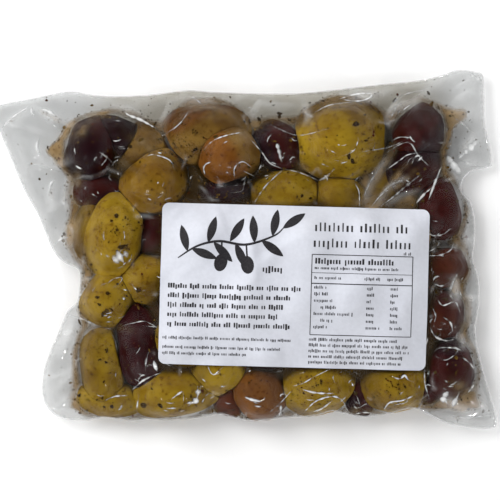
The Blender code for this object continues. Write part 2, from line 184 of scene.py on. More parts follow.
Olive = namedtuple("Olive", "x y length width height turn rise kind tone patch")
OLIVES = tuple(
    Olive(*row)
    for row in (
        # along the top edge
        (-57.0, 37.5, 22.0, 18.5, 20.0, 70, 0.0, "dark", "plum", "maroon"),
        (-47.5, 42.0, 19.0, 14.5, 15.5, -15, 1.5, "dark", "plum", "plum"),
        (-53.5, 21.5, 19.0, 13.0, 14.5, -5, 0.0, "dark", "wine", "plum"),
        (-38.0, 37.0, 22.0, 15.5, 16.5, -35, 0.0, "turning", "khaki", "gold"),
        (-33.5, 25.0, 24.0, 21.5, 22.0, 60, 0.5, "turning", "gold", "gold"),
        (-14.5, 42.5, 29.0, 21.0, 20.0, 5, 0.0, "turning", "khaki", "russet"),
        (-6.0, 34.5, 21.5, 19.0, 18.0, 15, 6.0, "turning", "russet", "khaki"),
        (-7.0, 19.5, 20.0, 14.0, 17.0, 5, 0.0, "dark", "plum", "plum"),
        (12.0, 38.0, 18.0, 16.5, 17.5, -30, 0.0, "dark", "wine", "plum"),
        (35.5, 40.5, 31.0, 25.5, 25.5, 8, 0.0, "green", "yellow_green", "green"),
        (14.0, 19.5, 25.0, 18.0, 20.0, 5, 0.0, "green", "green", "deep_green"),
        (34.5, 18.0, 18.0, 18.0, 18.5, 60, 0.0, "green", "deep_green", "green"),
        (64.5, 43.5, 20.0, 17.0, 18.5, 65, 0.5, "dark", "wine", "plum"),
        (62.5, 30.0, 20.0, 16.5, 17.5, 55, 0.5, "dark", "plum", "wine"),
        (50.0, 22.0, 18.0, 14.0, 12.5, 60, 0.0, "green", "deep_green", "khaki"),
        # down the right side
        (71.5, 14.5, 21.0, 17.0, 18.5, 85, 0.0, "dark", "wine", "wine"),
        (72.5, -6.5, 18.0, 15.0, 17.0, 10, 0.0, "dark", "chestnut", "chestnut"),
        (72.5, -24.5, 18.0, 16.0, 17.5, 75, 0.0, "dark", "chestnut", "wine"),
        (76.0, -44.0, 21.5, 17.5, 18.5, 100, 0.0, "dark", "wine", "plum"),
        (69.5, -50.5, 15.0, 9.0, 10.5, 60, 1.0, "dark", "wine", "wine"),
        # down the left side
        (-48.5, 5.0, 28.0, 20.0, 22.5, 85, 0.5, "green", "yellow_green", "green"),
        (-56.5, 6.5, 21.0, 13.5, 16.0, 80, 0.0, "green", "deep_green", "khaki"),
        (-33.0, 6.0, 18.0, 14.0, 16.5, 80, 0.5, "dark", "wine", "maroon"),
        (-35.5, -11.0, 22.0, 18.0, 20.5, 10, 0.0, "green", "green", "deep_green"),
        (-50.5, -18.5, 19.5, 18.5, 20.5, 60, 0.0, "green", "green", "green"),
        (-39.0, -35.5, 31.0, 17.0, 20.0, 98, 0.5, "dark", "maroon", "maroon"),
        (-53.5, -43.5, 29.0, 15.0, 18.5, 95, 0.0, "green", "green", "deep_green"),
        # along the bottom edge
        (-50.5, -55.5, 22.0, 12.5, 15.5, -8, 0.0, "green", "green", "green"),
        (-26.0, -53.3, 28.0, 17.5, 21.0, 6, 0.0, "green", "green", "green"),
        (-10.0, -44.0, 19.0, 17.0, 18.5, 30, 3.5, "green", "yellow_green", "green"),
        (5.5, -52.8, 20.5, 18.5, 20.0, -40, 0.0, "turning", "umber", "russet"),
        (-5.5, -54.5, 14.0, 11.0, 13.0, 80, 0.5, "turning", "brick", "brick"),
        (26.5, -51.0, 26.0, 19.0, 21.5, 10, 0.0, "green", "green", "yellow_green"),
        (43.0, -53.5, 16.5, 11.0, 14.5, 75, 0.5, "dark", "wine", "plum"),
        (55.0, -50.5, 22.5, 18.5, 21.0, -5, 0.0, "green", "green", "deep_green"),
        # under the label, on top of others
        (-15.0, 3.0, 24.0, 20.0, 21.5, 20, 4.5, "green", "green", "green"),
        (4.0, 2.5, 21.0, 16.0, 18.5, 75, 7.5, "dark", "wine", "plum"),
        (23.0, 0.0, 26.0, 20.0, 21.5, 10, 7.0, "green", "green", "deep_green"),
        (45.0, 3.0, 21.0, 17.0, 19.5, 100, 6.5, "dark", "plum", "wine"),
        (59.0, 2.0, 22.0, 17.0, 19.5, 80, 3.0, "green", "green", "khaki"),
        (-20.0, -16.0, 23.0, 16.0, 18.5, 25, 6.0, "dark", "plum", "plum"),
        (1.0, -18.0, 24.0, 20.0, 21.5, 85, 8.0, "green", "green", "green"),
        (20.0, -20.0, 23.0, 18.0, 20.5, 140, 8.5, "green", "green", "deep_green"),
        (39.0, -17.0, 24.0, 20.0, 21.5, 60, 8.0, "turning", "russet", "khaki"),
        (58.0, -17.0, 22.0, 17.0, 18.5, 85, 5.0, "dark", "wine", "wine"),
        (-22.0, -34.0, 22.0, 17.0, 20.0, -15, 3.5, "green", "green", "green"),
        (9.0, -37.0, 21.0, 14.0, 17.0, 5, 6.0, "dark", "plum", "wine"),
        (30.0, -36.0, 20.0, 14.0, 17.5, -10, 6.0, "dark", "wine", "plum"),
        (50.0, -33.5, 24.0, 17.0, 20.0, 5, 4.5, "green", "green", "deep_green"),
        # the lower layer beneath them
        (-7.0, -7.0, 20.0, 15.0, 16.5, 30, 0.0, "green", "green", "khaki"),
        (13.0, -9.0, 21.0, 15.0, 17.0, 120, 0.0, "dark", "wine", "plum"),
        (32.0, -8.0, 20.0, 15.0, 16.5, 70, 0.0, "green", "green", "deep_green"),
        (51.0, -7.0, 19.0, 14.0, 16.0, 10, 0.0, "turning", "khaki", "russet"),
        (-9.0, -27.0, 20.0, 15.0, 16.5, 100, 0.0, "turning", "gold", "khaki"),
        (10.5, -28.0, 20.0, 14.0, 16.0, 20, 0.0, "green", "green", "green"),
        (29.0, -27.0, 21.0, 15.0, 16.5, 150, 0.0, "dark", "plum", "maroon"),
        (47.0, -24.0, 20.0, 15.0, 17.0, 60, 0.0, "green", "deep_green", "green"),
        (-28.0, -24.0, 19.0, 14.0, 15.5, 110, 0.0, "dark", "wine", "wine"),
        (33.0, 8.0, 18.0, 13.0, 14.5, 0, 0.0, "dark", "plum", "plum"),
    )
)

Pocket = namedtuple("Pocket", "x y tip_x tip_y width depth")
POCKETS = tuple(
    Pocket(*row)
    for row in (
        (-62.0, 36.5, -75.5, 36.6, 15.0, 8.0),
        (-61.0, 42.0, -68.5, 45.5, 7.0, 4.5),
        (-54.0, 44.0, -54.5, 52.0, 7.0, 4.5),
        (-60.0, 6.5, -64.0, 6.5, 8.0, 6.0),
        (-57.0, -56.5, -67.0, -59.0, 8.0, 5.0),
        (80.0, -52.0, 88.0, -60.6, 8.0, 5.5),
        (76.5, -52.5, 82.0, -61.0, 9.0, 6.0),
        (72.0, -53.0, 75.5, -60.5, 7.0, 5.0),
        (70.0, 46.0, 83.5, 51.3, 11.0, 6.5),
        (-15.0, 49.0, -16.0, 55.0, 12.0, 6.0),
        (34.0, 50.0, 33.5, 54.0, 9.0, 5.0),
    )
)

# Creases in the upper film: width, how white the fold is (whitened film, partly a painted highlight), then
# its course
CREASES = (
    # over the brown olive and its neighbours
    (0.6, 0.8, (-15.5, 36.5), (-12.0, 40.0), (-7.0, 42.0), (0.0, 43.5)),
    (1.0, 1.0, (-15.0, 27.5), (-15.5, 30.0), (-14.5, 31.5), (-12.5, 32.2)),
    (0.6, 0.7, (-4.0, 26.0), (-4.0, 30.0), (-1.0, 32.3), (2.5, 30.0)),
    (0.5, 0.6, (-1.0, 29.0), (3.5, 27.0)),
    (0.4, 0.3, (0.0, 28.0), (-0.5, 24.0), (-1.5, 21.5), (-6.0, 21.0)),
    (2.3, 1.0, (11.6, 39.2), (12.5, 36.0), (13.5, 32.0)),
    (0.7, 0.8, (2.0, 40.5), (6.0, 36.0), (9.0, 32.0), (14.0, 29.7)),
    (0.7, 0.5, (14.0, 29.7), (8.0, 24.0), (5.0, 20.0), (3.0, 16.5)),
    (0.6, 0.5, (14.0, 29.7), (20.0, 28.5), (27.0, 25.5)),
    (1.3, 0.35, (27.0, 25.5), (30.0, 27.0), (33.0, 30.0)),
    (0.6, 0.7, (-37.0, 34.0), (-34.0, 35.0), (-28.0, 33.0), (-26.0, 29.0)),
    (0.5, 0.7, (-30.0, 18.0), (-28.5, 18.8), (-27.0, 19.0)),
    (0.9, 0.4, (-54.0, 36.0), (-51.0, 34.0), (-49.0, 31.8)),
    # the margin along the top and at the left
    (1.3, 0.9, (-45.5, 52.0), (-43.5, 50.0), (-38.5, 48.0), (-32.5, 44.5)),
    (0.7, 0.8, (0.0, 53.0), (3.0, 52.2), (5.0, 50.5)),
    (1.0, 0.9, (34.0, 55.5), (40.0, 57.5), (46.0, 58.0), (46.5, 56.5), (42.0, 55.0), (36.0, 55.5)),
    (1.0, 0.8, (-91.0, 45.0), (-86.0, 49.5), (-80.0, 53.5)),
    (0.8, 0.7, (-79.5, 53.0), (-79.5, 51.0), (-78.3, 49.5)),
    (1.7, 0.7, (-76.0, 52.3), (-73.0, 51.2), (-70.5, 49.2)),
    (1.3, 0.6, (-76.5, 41.5), (-77.4, 38.0), (-76.0, 35.0)),
    (1.3, 0.5, (-70.5, 26.5), (-72.3, 24.0), (-73.0, 20.5)),
    (0.6, 0.4, (-66.5, 28.0), (-67.0, 22.0), (-66.8, 16.0)),
    (0.9, 0.8, (-71.0, 2.0), (-68.0, 4.2), (-65.5, 4.5)),
    (0.7, 0.8, (-66.0, -24.0), (-60.0, -26.0), (-55.0, -28.5)),
    (0.7, 0.5, (-75.4, 48.8), (-71.0, 46.0), (-67.1, 41.7)),
    (0.5, 0.5, (-81.4, 31.6), (-75.0, 30.8), (-68.3, 28.6)),
    (0.6, 0.4, (-31.5, 41.7), (-24.4, 46.4), (-19.7, 53.5)),
    (0.6, 0.35, (-21.0, 57.5), (-18.0, 55.5), (-15.0, 52.3)),
    (0.6, 0.4, (25.3, 50.5), (31.3, 53.5), (40.9, 54.7)),
    (0.8, 0.5, (53.8, 53.5), (58.6, 57.3), (67.5, 59.5)),
    (0.7, 0.4, (52.7, 46.4), (55.0, 51.1), (57.4, 55.3)),
    (0.9, 0.5, (77.5, 48.8), (81.0, 46.5), (84.7, 42.8)),
    (0.5, 0.35, (8.8, 46.4), (19.4, 42.2), (31.3, 44.6)),
    (0.6, 0.5, (42.0, 35.7), (53.8, 38.1), (61.0, 41.7)),
    # down the left
    (5.0, 1.0, (-48.8, -4.4), (-46.2, -2.6), (-43.0, -1.2)),
    (0.5, 0.4, (-51.0, -14.0), (-50.3, -12.0), (-48.0, -10.6), (-45.5, -10.5), (-46.5, -12.5),
     (-49.0, -14.5)),
    (1.3, 1.0, (-45.3, -18.4), (-44.2, -17.6)),
    (0.6, 0.7, (-45.2, -14.7), (-43.0, -15.2)),
    (1.0, 0.8, (-29.6, -7.8), (-27.4, -9.6)),
    (0.6, 0.5, (-38.5, -28.0), (-32.5, -28.6)),
    (0.6, 0.5, (-45.0, -28.0), (-41.0, -27.0), (-37.0, -26.5), (-32.0, -29.0)),
    (1.0, 1.0, (-42.0, -52.0), (-38.0, -48.5), (-34.0, -46.5), (-31.0, -45.5)),
    (1.5, 1.0, (-33.8, -40.8), (-33.2, -43.0), (-32.5, -45.0)),
    (0.8, 0.4, (-37.0, -45.0), (-36.6, -41.0), (-35.6, -37.5)),
    (0.7, 0.8, (-39.8, -48.2), (-38.2, -46.4), (-36.5, -46.4)),
    (0.6, 0.5, (-40.3, -38.6), (-38.6, -36.0)),
    (0.4, 0.4, (-50.0, -30.5), (-48.2, -33.5), (-47.3, -37.5)),
    # along the bottom
    (0.8, 0.9, (-52.0, -55.8), (-48.0, -54.2), (-43.0, -54.0)),
    (0.6, 0.8, (-39.3, -53.5), (-40.0, -57.5), (-40.6, -62.0)),
    (0.8, 0.9, (-27.5, -55.3), (-24.5, -53.0), (-23.0, -52.5), (-22.8, -56.0)),
    (2.6, 1.0, (-21.6, -56.6), (-18.8, -56.0), (-17.6, -53.6), (-17.7, -50.2)),
    (0.6, 0.7, (-14.0, -42.5), (-12.8, -45.2), (-11.5, -46.0), (-10.0, -44.8), (-8.0, -43.0)),
    (1.3, 1.0, (-0.3, -54.3), (2.0, -55.2), (6.0, -56.0)),
    (0.6, 0.8, (9.0, -60.0), (13.0, -56.5), (17.0, -52.0)),
    (1.4, 0.9, (13.2, -57.2), (13.0, -60.0), (12.0, -62.3)),
    (0.6, 0.7, (17.0, -50.5), (21.0, -49.3), (25.0, -47.0), (32.0, -43.5)),
    (0.9, 0.9, (21.0, -51.5), (26.0, -52.7), (33.0, -53.0)),
    (0.8, 0.8, (21.0, -61.0), (25.0, -56.5), (29.0, -54.6), (33.0, -54.2), (36.0, -56.0), (38.0, -60.0)),
    (0.8, 0.6, (24.0, -60.2), (28.0, -58.8), (32.0, -55.6)),
    (1.2, 1.0, (39.2, -49.0), (39.9, -50.6)),
    (0.5, 0.4, (40.0, -52.0), (41.5, -55.0), (42.5, -58.0)),
    (0.7, 0.6, (40.0, -61.0), (44.0, -60.4), (48.0, -60.9)),
    (0.9, 1.0, (54.0, -46.8), (56.8, -47.6), (58.6, -46.4), (60.2, -48.2), (62.3, -48.9)),
    (0.8, 0.8, (51.0, -60.0), (53.0, -56.5), (58.0, -55.5), (64.0, -53.0)),
    # up the right
    (0.7, 0.6, (66.2, -43.5), (66.3, -49.0), (68.0, -55.0)),
    (0.5, 0.5, (69.0, -38.4), (72.0, -36.3), (78.5, -37.0), (74.0, -40.8), (69.5, -39.0)),
    (3.0, 0.9, (75.0, -52.4), (73.8, -54.6), (73.2, -57.2)),
    (1.9, 0.7, (78.8, -54.4), (77.6, -56.5), (76.8, -58.6)),
    (0.6, 0.6, (67.0, -2.3), (72.0, -2.0), (76.0, 0.0), (77.5, 3.5)),
    (0.5, 0.5, (67.0, -1.0), (70.0, 0.5), (72.0, 3.0)),
    (0.6, 0.6, (50.0, 28.0), (57.0, 33.0), (60.0, 35.0), (65.0, 35.8)),
    (0.6, 0.5, (54.0, 40.0), (57.0, 41.5), (62.0, 41.0)),
    (0.6, 0.6, (59.5, 31.0), (60.5, 33.2), (62.2, 33.6), (61.2, 31.5)),
    (1.1, 0.8, (63.0, 17.0), (66.0, 20.5), (69.0, 23.0)),
    (0.5, 0.5, (46.0, 15.0), (50.0, 20.0), (56.0, 24.0)),
    (0.5, 0.5, (48.5, 15.0), (54.0, 19.0), (60.0, 24.0)),
    (0.6, 0.7, (40.0, 25.0), (42.0, 21.5), (42.0, 15.5)),
    (2.8, 1.0, (74.8, 35.0), (77.5, 31.2), (80.5, 28.0)),
    (3.0, 1.0, (79.0, 34.0), (83.0, 37.5), (86.5, 41.0)),
    (1.8, 0.9, (80.0, 33.0), (84.0, 31.7), (87.5, 30.8)),
    (1.7, 0.8, (83.5, 65.2), (86.0, 64.0), (88.0, 62.6)),
    (0.8, 0.6, (75.0, -61.5), (83.0, -62.5), (92.0, -61.0)),
    # crumpled over the dark olives at the right
    (1.3, 0.45, (77.5, -10.5), (75.7, -15.9), (77.0, -18.3)),
    (0.8, 0.8, (71.0, -18.3), (72.8, -20.6), (77.5, -19.4), (79.4, -23.5)),
    (0.9, 0.8, (68.1, -28.3), (69.9, -31.9), (74.0, -33.7), (77.5, -33.1)),
    (0.9, 0.7, (72.8, -24.8), (75.8, -27.2), (76.6, -30.7)),
    (0.7, 0.5, (69.0, -21.5), (70.2, -24.5), (69.6, -27.0)),
    (0.8, 0.7, (72.8, -53.3), (75.2, -57.4), (77.5, -55.7), (79.4, -52.7)),
    (1.0, 0.5, (79.9, -39.6), (83.5, -42.6), (85.0, -45.0)),
    (0.7, 0.7, (66.5, 7.0), (69.0, 5.2), (73.0, 5.6), (76.0, 8.0)),
    (0.8, 0.6, (69.5, -12.5), (72.5, -13.5), (75.5, -12.0)),
    (0.6, 0.6, (52.1, 35.7), (57.4, 39.0), (61.0, 39.0), (63.9, 34.6), (68.1, 30.4)),
    (0.9, 0.9, (62.1, 33.4), (63.3, 34.6), (65.1, 34.2), (63.3, 32.3)),
    (1.0, 0.8, (72.8, 31.0), (69.3, 22.7), (67.5, 17.9)),
    (0.9, 0.35, (43.2, 17.9), (46.1, 25.0), (52.7, 34.6)),
    (1.1, 0.35, (47.9, 17.9), (53.8, 23.9), (60.9, 26.2)),
    (1.2, 0.30, (51.5, 16.8), (58.6, 22.8), (65.7, 28.7)),
)

# Broad soft pleats in the margin: width, whiteness (partly a painted soft highlight), course
PLEATS = (
    (4.0, 0.30, (-90.0, 46.0), (-85.0, 50.0), (-79.0, 54.0)),
    (3.5, 0.32, (-77.0, 52.0), (-72.5, 50.0), (-68.0, 46.5)),
    (3.0, 0.25, (-77.5, 42.0), (-77.0, 37.0), (-73.0, 31.0)),
    (3.5, 0.28, (-71.0, 27.0), (-72.0, 22.0), (-71.0, 15.0)),
    (3.0, 0.22, (-86.0, 42.0), (-82.0, 33.0), (-78.0, 24.0)),
    (2.5, 0.30, (-64.5, 28.0), (-66.5, 21.0), (-65.5, 13.0)),
    (3.0, 0.22, (-52.0, 53.5), (-44.0, 53.0), (-36.0, 48.0)),
    (3.0, 0.18, (-30.0, 55.0), (-22.0, 56.0), (-10.0, 55.5)),
    (3.0, 0.22, (3.0, 54.5), (12.0, 54.0), (22.0, 53.5)),
    (3.5, 0.28, (36.0, 56.0), (45.0, 57.5), (56.0, 59.0)),
    (3.0, 0.25, (52.0, 51.0), (58.0, 54.0), (66.0, 57.0)),
    (4.0, 0.25, (76.0, 58.0), (82.0, 62.0), (86.0, 63.5)),
    (3.5, 0.34, (78.0, 36.0), (83.0, 40.0), (86.5, 45.0)),
    (3.0, 0.30, (77.0, 30.0), (81.0, 32.5), (87.0, 34.0)),
    (2.5, 0.22, (82.5, 10.0), (81.5, 2.0), (82.5, -5.0)),
    (2.5, 0.22, (84.0, -14.0), (83.5, -22.0), (83.5, -30.0)),
    (3.0, 0.25, (86.0, -48.0), (89.0, -56.0), (90.5, -62.0)),
    (3.0, 0.22, (70.0, -60.0), (78.0, -62.5), (87.0, -63.5)),
    (3.0, 0.26, (-64.0, -1.0), (-68.0, 4.0), (-73.0, 9.0)),
    (3.0, 0.22, (-62.0, -27.0), (-66.0, -34.0), (-69.5, -42.0)),
    (3.5, 0.20, (-63.0, -47.0), (-69.0, -51.0), (-71.0, -57.0)),
    # through the cloudy oil beside the big green olive
    (2.4, 0.26, (43.5, 16.0), (46.0, 25.0), (53.0, 35.5)),
    (2.2, 0.24, (47.5, 15.5), (53.0, 23.5), (60.5, 27.5)),
    (2.0, 0.20, (51.5, 16.0), (58.0, 20.5), (66.0, 22.5)),
    (5.0, 0.30, (72.0, -53.0), (78.0, -57.5), (86.5, -60.5)),
    (3.2, 0.40, (77.5, -8.5), (78.5, -15.0), (79.5, -22.0)),
    (2.4, 0.30, (79.0, -30.0), (81.0, -33.5), (80.5, -38.0)),
    # out from between the olives
    (2.4, 0.22, (-33.0, 45.0), (-30.0, 51.0), (-27.0, 57.0)),
    (2.4, 0.26, (2.0, 47.0), (3.0, 52.0), (6.5, 57.0)),
    (2.2, 0.22, (21.0, 45.0), (22.5, 50.0), (20.0, 57.0)),
    (2.4, 0.26, (51.0, 46.0), (54.0, 52.5), (60.0, 60.5)),
    (2.2, 0.20, (60.0, 52.0), (66.0, 58.5), (74.0, 63.5)),
    (2.6, 0.24, (74.0, 52.0), (80.0, 57.0), (87.0, 60.0)),
    (2.0, 0.26, (80.0, 4.5), (83.0, 4.0), (85.0, 6.0)),
    (2.0, 0.26, (80.5, -16.0), (84.0, -17.5), (86.5, -16.0)),
    (2.2, 0.24, (82.0, -33.5), (84.5, -35.5), (86.5, -36.5)),
    (2.4, 0.24, (84.5, -55.0), (88.5, -58.0), (92.5, -64.0)),
    (2.6, 0.20, (-62.5, 33.0), (-70.0, 31.0), (-82.0, 30.0)),
    (2.6, 0.24, (-63.0, 44.5), (-72.0, 49.0), (-83.0, 55.0)),
    (2.4, 0.20, (-70.0, 40.0), (-79.0, 44.0), (-91.0, 47.5)),
    (2.4, 0.20, (-64.0, 20.0), (-72.0, 15.0), (-77.0, 11.5)),
    (2.2, 0.32, (-62.0, -30.5), (-66.5, -31.5), (-69.5, -30.5)),
    (2.4, 0.20, (-63.0, -45.5), (-69.0, -47.0), (-75.0, -50.5)),
    (2.2, 0.22, (-62.5, -53.0), (-68.0, -57.0), (-72.5, -60.5)),
)

# Streaks where the oil under the film is cloudy: x, y, half length, half width, turn, how cloudy
CLOUDS = (
    (44.5, 25.0, 12.0, 2.0, 68, 0.9), (48.5, 27.0, 12.0, 2.2, 62, 1.0), (53.0, 23.5, 10.0, 1.8, 50, 0.9),
    (57.5, 24.5, 9.0, 1.8, 40, 0.8), (47.0, 17.0, 7.0, 3.0, 60, 0.8), (61.0, 19.0, 6.0, 2.4, 50, 0.6),
    (-38.0, 39.0, 8.0, 3.0, -35, 0.7), (-31.0, 43.0, 5.5, 3.0, 40, 0.7), (-27.0, 33.0, 5.0, 1.4, -70, 0.6),
    (-43.0, 31.0, 8.0, 1.8, -40, 0.5), (21.5, 31.0, 4.0, 2.0, -30, 0.5), (77.5, -14.0, 4.5, 2.0, 70, 1.0),
    (-62.0, 9.0, 6.0, 1.8, 80, 0.7), (-58.5, 16.5, 4.0, 2.0, 60, 0.5), (-60.5, -1.0, 5.0, 2.0, 100, 0.8),
    (-58.0, -12.0, 4.0, 2.0, 80, 0.7), (-54.0, -29.5, 4.5, 2.5, 0, 0.8), (-46.0, -29.0, 6.0, 1.6, -10, 0.5),
    (78.5, 44.0, 6.0, 3.5, 60, 0.8), (76.0, 34.0, 5.0, 3.0, 70, 0.7), (-14.0, 52.5, 8.0, 2.2, 0, 0.7),
    (24.5, 50.0, 5.0, 2.2, 35, 0.7), (33.0, 53.0, 6.0, 1.8, 0, 0.7), (-23.0, 49.5, 5.0, 3.0, 50, 0.7),
    (80.0, -31.0, 4.0, 2.0, 80, 0.7), (66.0, -57.5, 5.0, 2.5, -60, 0.8), (42.0, -60.0, 6.0, 2.0, 0, 0.6),
    (20.0, -60.5, 5.0, 2.2, -20, 0.6), (80.0, -53.0, 6.0, 4.0, -50, 0.9), (3.0, 46.5, 4.0, 2.2, 20, 0.6),
    (-62.0, 27.0, 5.0, 1.8, 95, 0.7), (-60.5, 44.0, 5.0, 2.5, 45, 0.7), (-16.0, -46.0, 6.0, 1.6, 60, 0.4),
)


def turned(x, y, degrees):
    """x and y in axes that are turned by the given angle."""
    c, s = math.cos(math.radians(degrees)), math.sin(math.radians(degrees))
    return x * c + y * s, y * c - x * s


def smooth_course(points, step, closed=False):
    """Points every step along the smooth curve through the given ones."""
    points = np.array(points, float)
    count = len(points)
    last = count if closed else count - 1
    share = np.linspace(0.0, 1.0, 12, endpoint=False)[:, None]
    dense = []
    for i in range(last):
        near = [(i + k) % count if closed else min(max(i + k, 0), count - 1) for k in (-1, 0, 1, 2)]
        a, b, c, d = points[near]
        dense.append(0.5 * (2 * b + (c - a) * share + (2 * a - 5 * b + 4 * c - d) * share**2
                            + (3 * b - a - 3 * c + d) * share**3))
    dense = np.concatenate([*dense, dense[0][:1] if closed else points[-1:]])
    run = np.concatenate([[0.0], np.cumsum(np.linalg.norm(np.diff(dense, axis=0), axis=1))])
    places = np.linspace(0.0, run[-1], max(4, round(run[-1] / step) + 1), endpoint=not closed)
    return np.stack([np.interp(places, run, dense[:, k]) for k in (0, 1)], axis=1)


def inside(points, outline):
    """True for each point that the outline holds."""
    x, y = points[:, 0][:, None], points[:, 1][:, None]
    x0, y0 = outline[:, 0], outline[:, 1]
    x1, y1 = np.roll(x0, -1), np.roll(y0, -1)
    crosses = ((y0 > y) != (y1 > y)) & (x < (x1 - x0) * (y - y0) / np.where(y1 == y0, 1.0, y1 - y0) + x0)
    return crosses.sum(axis=1) % 2 == 1


def distance_to(points, outline):
    """Each point's distance to the nearest stretch of the outline."""
    start, along = outline, np.roll(outline, -1, axis=0) - outline
    offset = points[:, None] - start
    share = np.clip((offset * along).sum(-1) / (along**2).sum(-1), 0.0, 1.0)
    return np.linalg.norm(offset - share[..., None] * along, axis=-1).min(axis=1)


class Region:
    """A closed outline, with a grid of distances in from its edge, for quick reads."""

    STEP = 1.0

    def __init__(self, outline):
        self.outline = outline
        self.low = outline.min(axis=0) - 3 * self.STEP
        counts = np.ceil((outline.max(axis=0) + 3 * self.STEP - self.low) / self.STEP).astype(int) + 1
        x, y = np.meshgrid(*(self.low[k] + self.STEP * np.arange(counts[k]) for k in (0, 1)), indexing="ij")
        points = np.stack([x.ravel(), y.ravel()], axis=1)
        depths = []
        for k in range(0, len(points), 4000):
            part = points[k:k + 4000]
            depths.append(np.where(inside(part, outline), 1.0, -1.0) * distance_to(part, outline))
        self.depths = np.concatenate(depths).reshape(x.shape)

    def depth(self, points):
        """How far in from the edge each point lies, below 0 outside: within about 0.1."""
        place = (points - self.low) / self.STEP
        place = np.clip(place, 0, np.array(self.depths.shape) - 1.001)
        return read_grid(self.depths, place[..., 0], place[..., 1])

    def holds(self, points):
        """True for each point inside, with an exact test close to the edge."""
        depth = self.depth(points)
        held = depth > 0
        close = np.flatnonzero(np.abs(depth) < 0.5 * self.STEP)
        for k in range(0, len(close), 4000):
            part = close[k:k + 4000]
            held[part] = inside(points[part], self.outline)
        return held


def read_grid(field, i, j):
    """The field's value between its grid points."""
    i0, j0 = i.astype(int), j.astype(int)
    p, q = i - i0, j - j0
    near = field[i0, j0] * (1 - p) + field[i0 + 1, j0] * p
    far = field[i0, j0 + 1] * (1 - p) + field[i0 + 1, j0 + 1] * p
    return near * (1 - q) + far * q


def smoothstep(low, high, value):
    """0 at low and below, 1 at high and beyond, with soft ends."""
    share = np.clip((value - low) / (high - low), 0.0, 1.0)
    return share * share * (3 - 2 * share)


def soft_positive(value):
    """The value where it is well above 0, and nearly 0 below, with a soft bend between."""
    return CONTACT_BLEND * np.logaddexp(0.0, value / CONTACT_BLEND)


def middle_height(olive):
    """Height of the olive's middle above the surface."""
    return olive.rise - FLATTENING + olive.height / 2


def olive_heights(x, y, olive):
    """(underside, top) of one olive above the surface, and its reach: under 1 where the olive is."""
    u, v = turned(x - olive.x, y - olive.y, olive.turn)
    reach = np.sqrt((2 * u / olive.length) ** 2 + (2 * v / olive.width) ** 2)
    half = olive.height / 2 * np.sqrt(np.clip(1 - reach**2, 0.0, 1.0))
    middle = middle_height(olive)
    return middle - half, middle + half, reach


def swollen(olive):
    """The olive as large as it would be with no neighbours."""
    long, wide, high = SWELLING
    height = olive.height * high
    return olive._replace(length=olive.length * long, width=olive.width * wide, height=height,
                          rise=middle_height(olive) + FLATTENING - height / 2)


def heap_heights(x, y, olives):
    """(top, underside) of the olives together: -1 and 99 where there is none."""
    top, base = np.full_like(x, -1.0), np.full_like(x, 99.0)
    for olive in olives:
        low, high, reach = olive_heights(x, y, olive)
        top = np.where(reach < 1, np.maximum(top, high), top)
        base = np.where(reach < 1, np.minimum(base, low), base)
    return top, base


def along_pocket(x, y, pocket):
    """(share of the way to the pocket's tip, distance aside of its middle line) of each point."""
    start = np.array([pocket.x, pocket.y])
    along = np.array([pocket.tip_x, pocket.tip_y]) - start
    share = np.clip(((x - start[0]) * along[0] + (y - start[1]) * along[1]) / (along @ along), 0.0, 1.0)
    return share, np.hypot(x - start[0] - share * along[0], y - start[1] - share * along[1])


def pocket_half_depth(x, y, pocket):
    """Half the depth of the oil in a pocket, and 0 outside it."""
    share, aside = along_pocket(x, y, pocket)
    taper = 1 - (1 - POCKET_TIP) * share
    roundness = np.clip(1 - (2 * aside / (pocket.width * taper)) ** 2, 0.0, 1.0)
    return pocket.depth / 2 * taper * np.sqrt(roundness)


def distance_from_olives(x, y):
    """Roughly how far each point lies outside the olives, joined softly between them."""
    total = np.zeros_like(x)
    for olive in OLIVES:
        reach = olive_heights(x, y, olive)[2]
        gap = (reach - 1) * math.sqrt(olive.length * olive.width) / 2
        total += np.exp(-np.clip(gap, -6.0, 60.0) / CONTENTS_BLEND)
    return np.maximum(-CONTENTS_BLEND * np.log(total), 0.0)


def seam_heights(x, y, away):
    """Height of the sheet in which the films meet: level among the olives, drooping and rippled outside."""
    fall = SEAM_HEIGHT - LEAST_SEAM_HEIGHT
    height = LEAST_SEAM_HEIGHT + fall * np.exp(-away * MARGIN_DROOP / fall)
    for wavelength, direction, phase in RIPPLES:
        along = turned(x, y, direction)[0]
        height += RIPPLE_HEIGHT * np.sin(2 * math.pi * along / wavelength + phase) * (1 - np.exp(-away / 6.0))
    return np.maximum(height, LEAST_SEAM_HEIGHT - 1.0)


def under_label(x, y, border):
    """True where the label, widened by border, lies."""
    u, v = turned(x - LABEL.x, y - LABEL.y, LABEL.turn)
    return (np.abs(u) < LABEL.width / 2 + border) & (np.abs(v) < LABEL.height / 2 + border)


def near_course(x, y, course, width):
    """1 in the middle of the course, falling to 0 at its ends and to both sides, sooner on its left."""
    course = smooth_course(course, 1.0)
    along = np.gradient(course, axis=0)
    gaps = np.hypot(x[..., None] - course[:, 0], y[..., None] - course[:, 1])
    nearest = gaps.argmin(axis=-1)
    start, heading = course[nearest], along[nearest]
    dx, dy = x - start[..., 0], y - start[..., 1]
    ahead = np.clip(heading[..., 0] * dx + heading[..., 1] * dy, -0.5, 0.5)
    aside = heading[..., 0] * dy - heading[..., 1] * dx
    share = np.clip((nearest + ahead) / (len(course) - 1), 0.0, 1.0)
    reach = np.where(aside > 0, 0.3, 0.75) * width
    return np.sin(math.pi * share) * np.exp(-((gaps.min(axis=-1) / reach) ** 2))


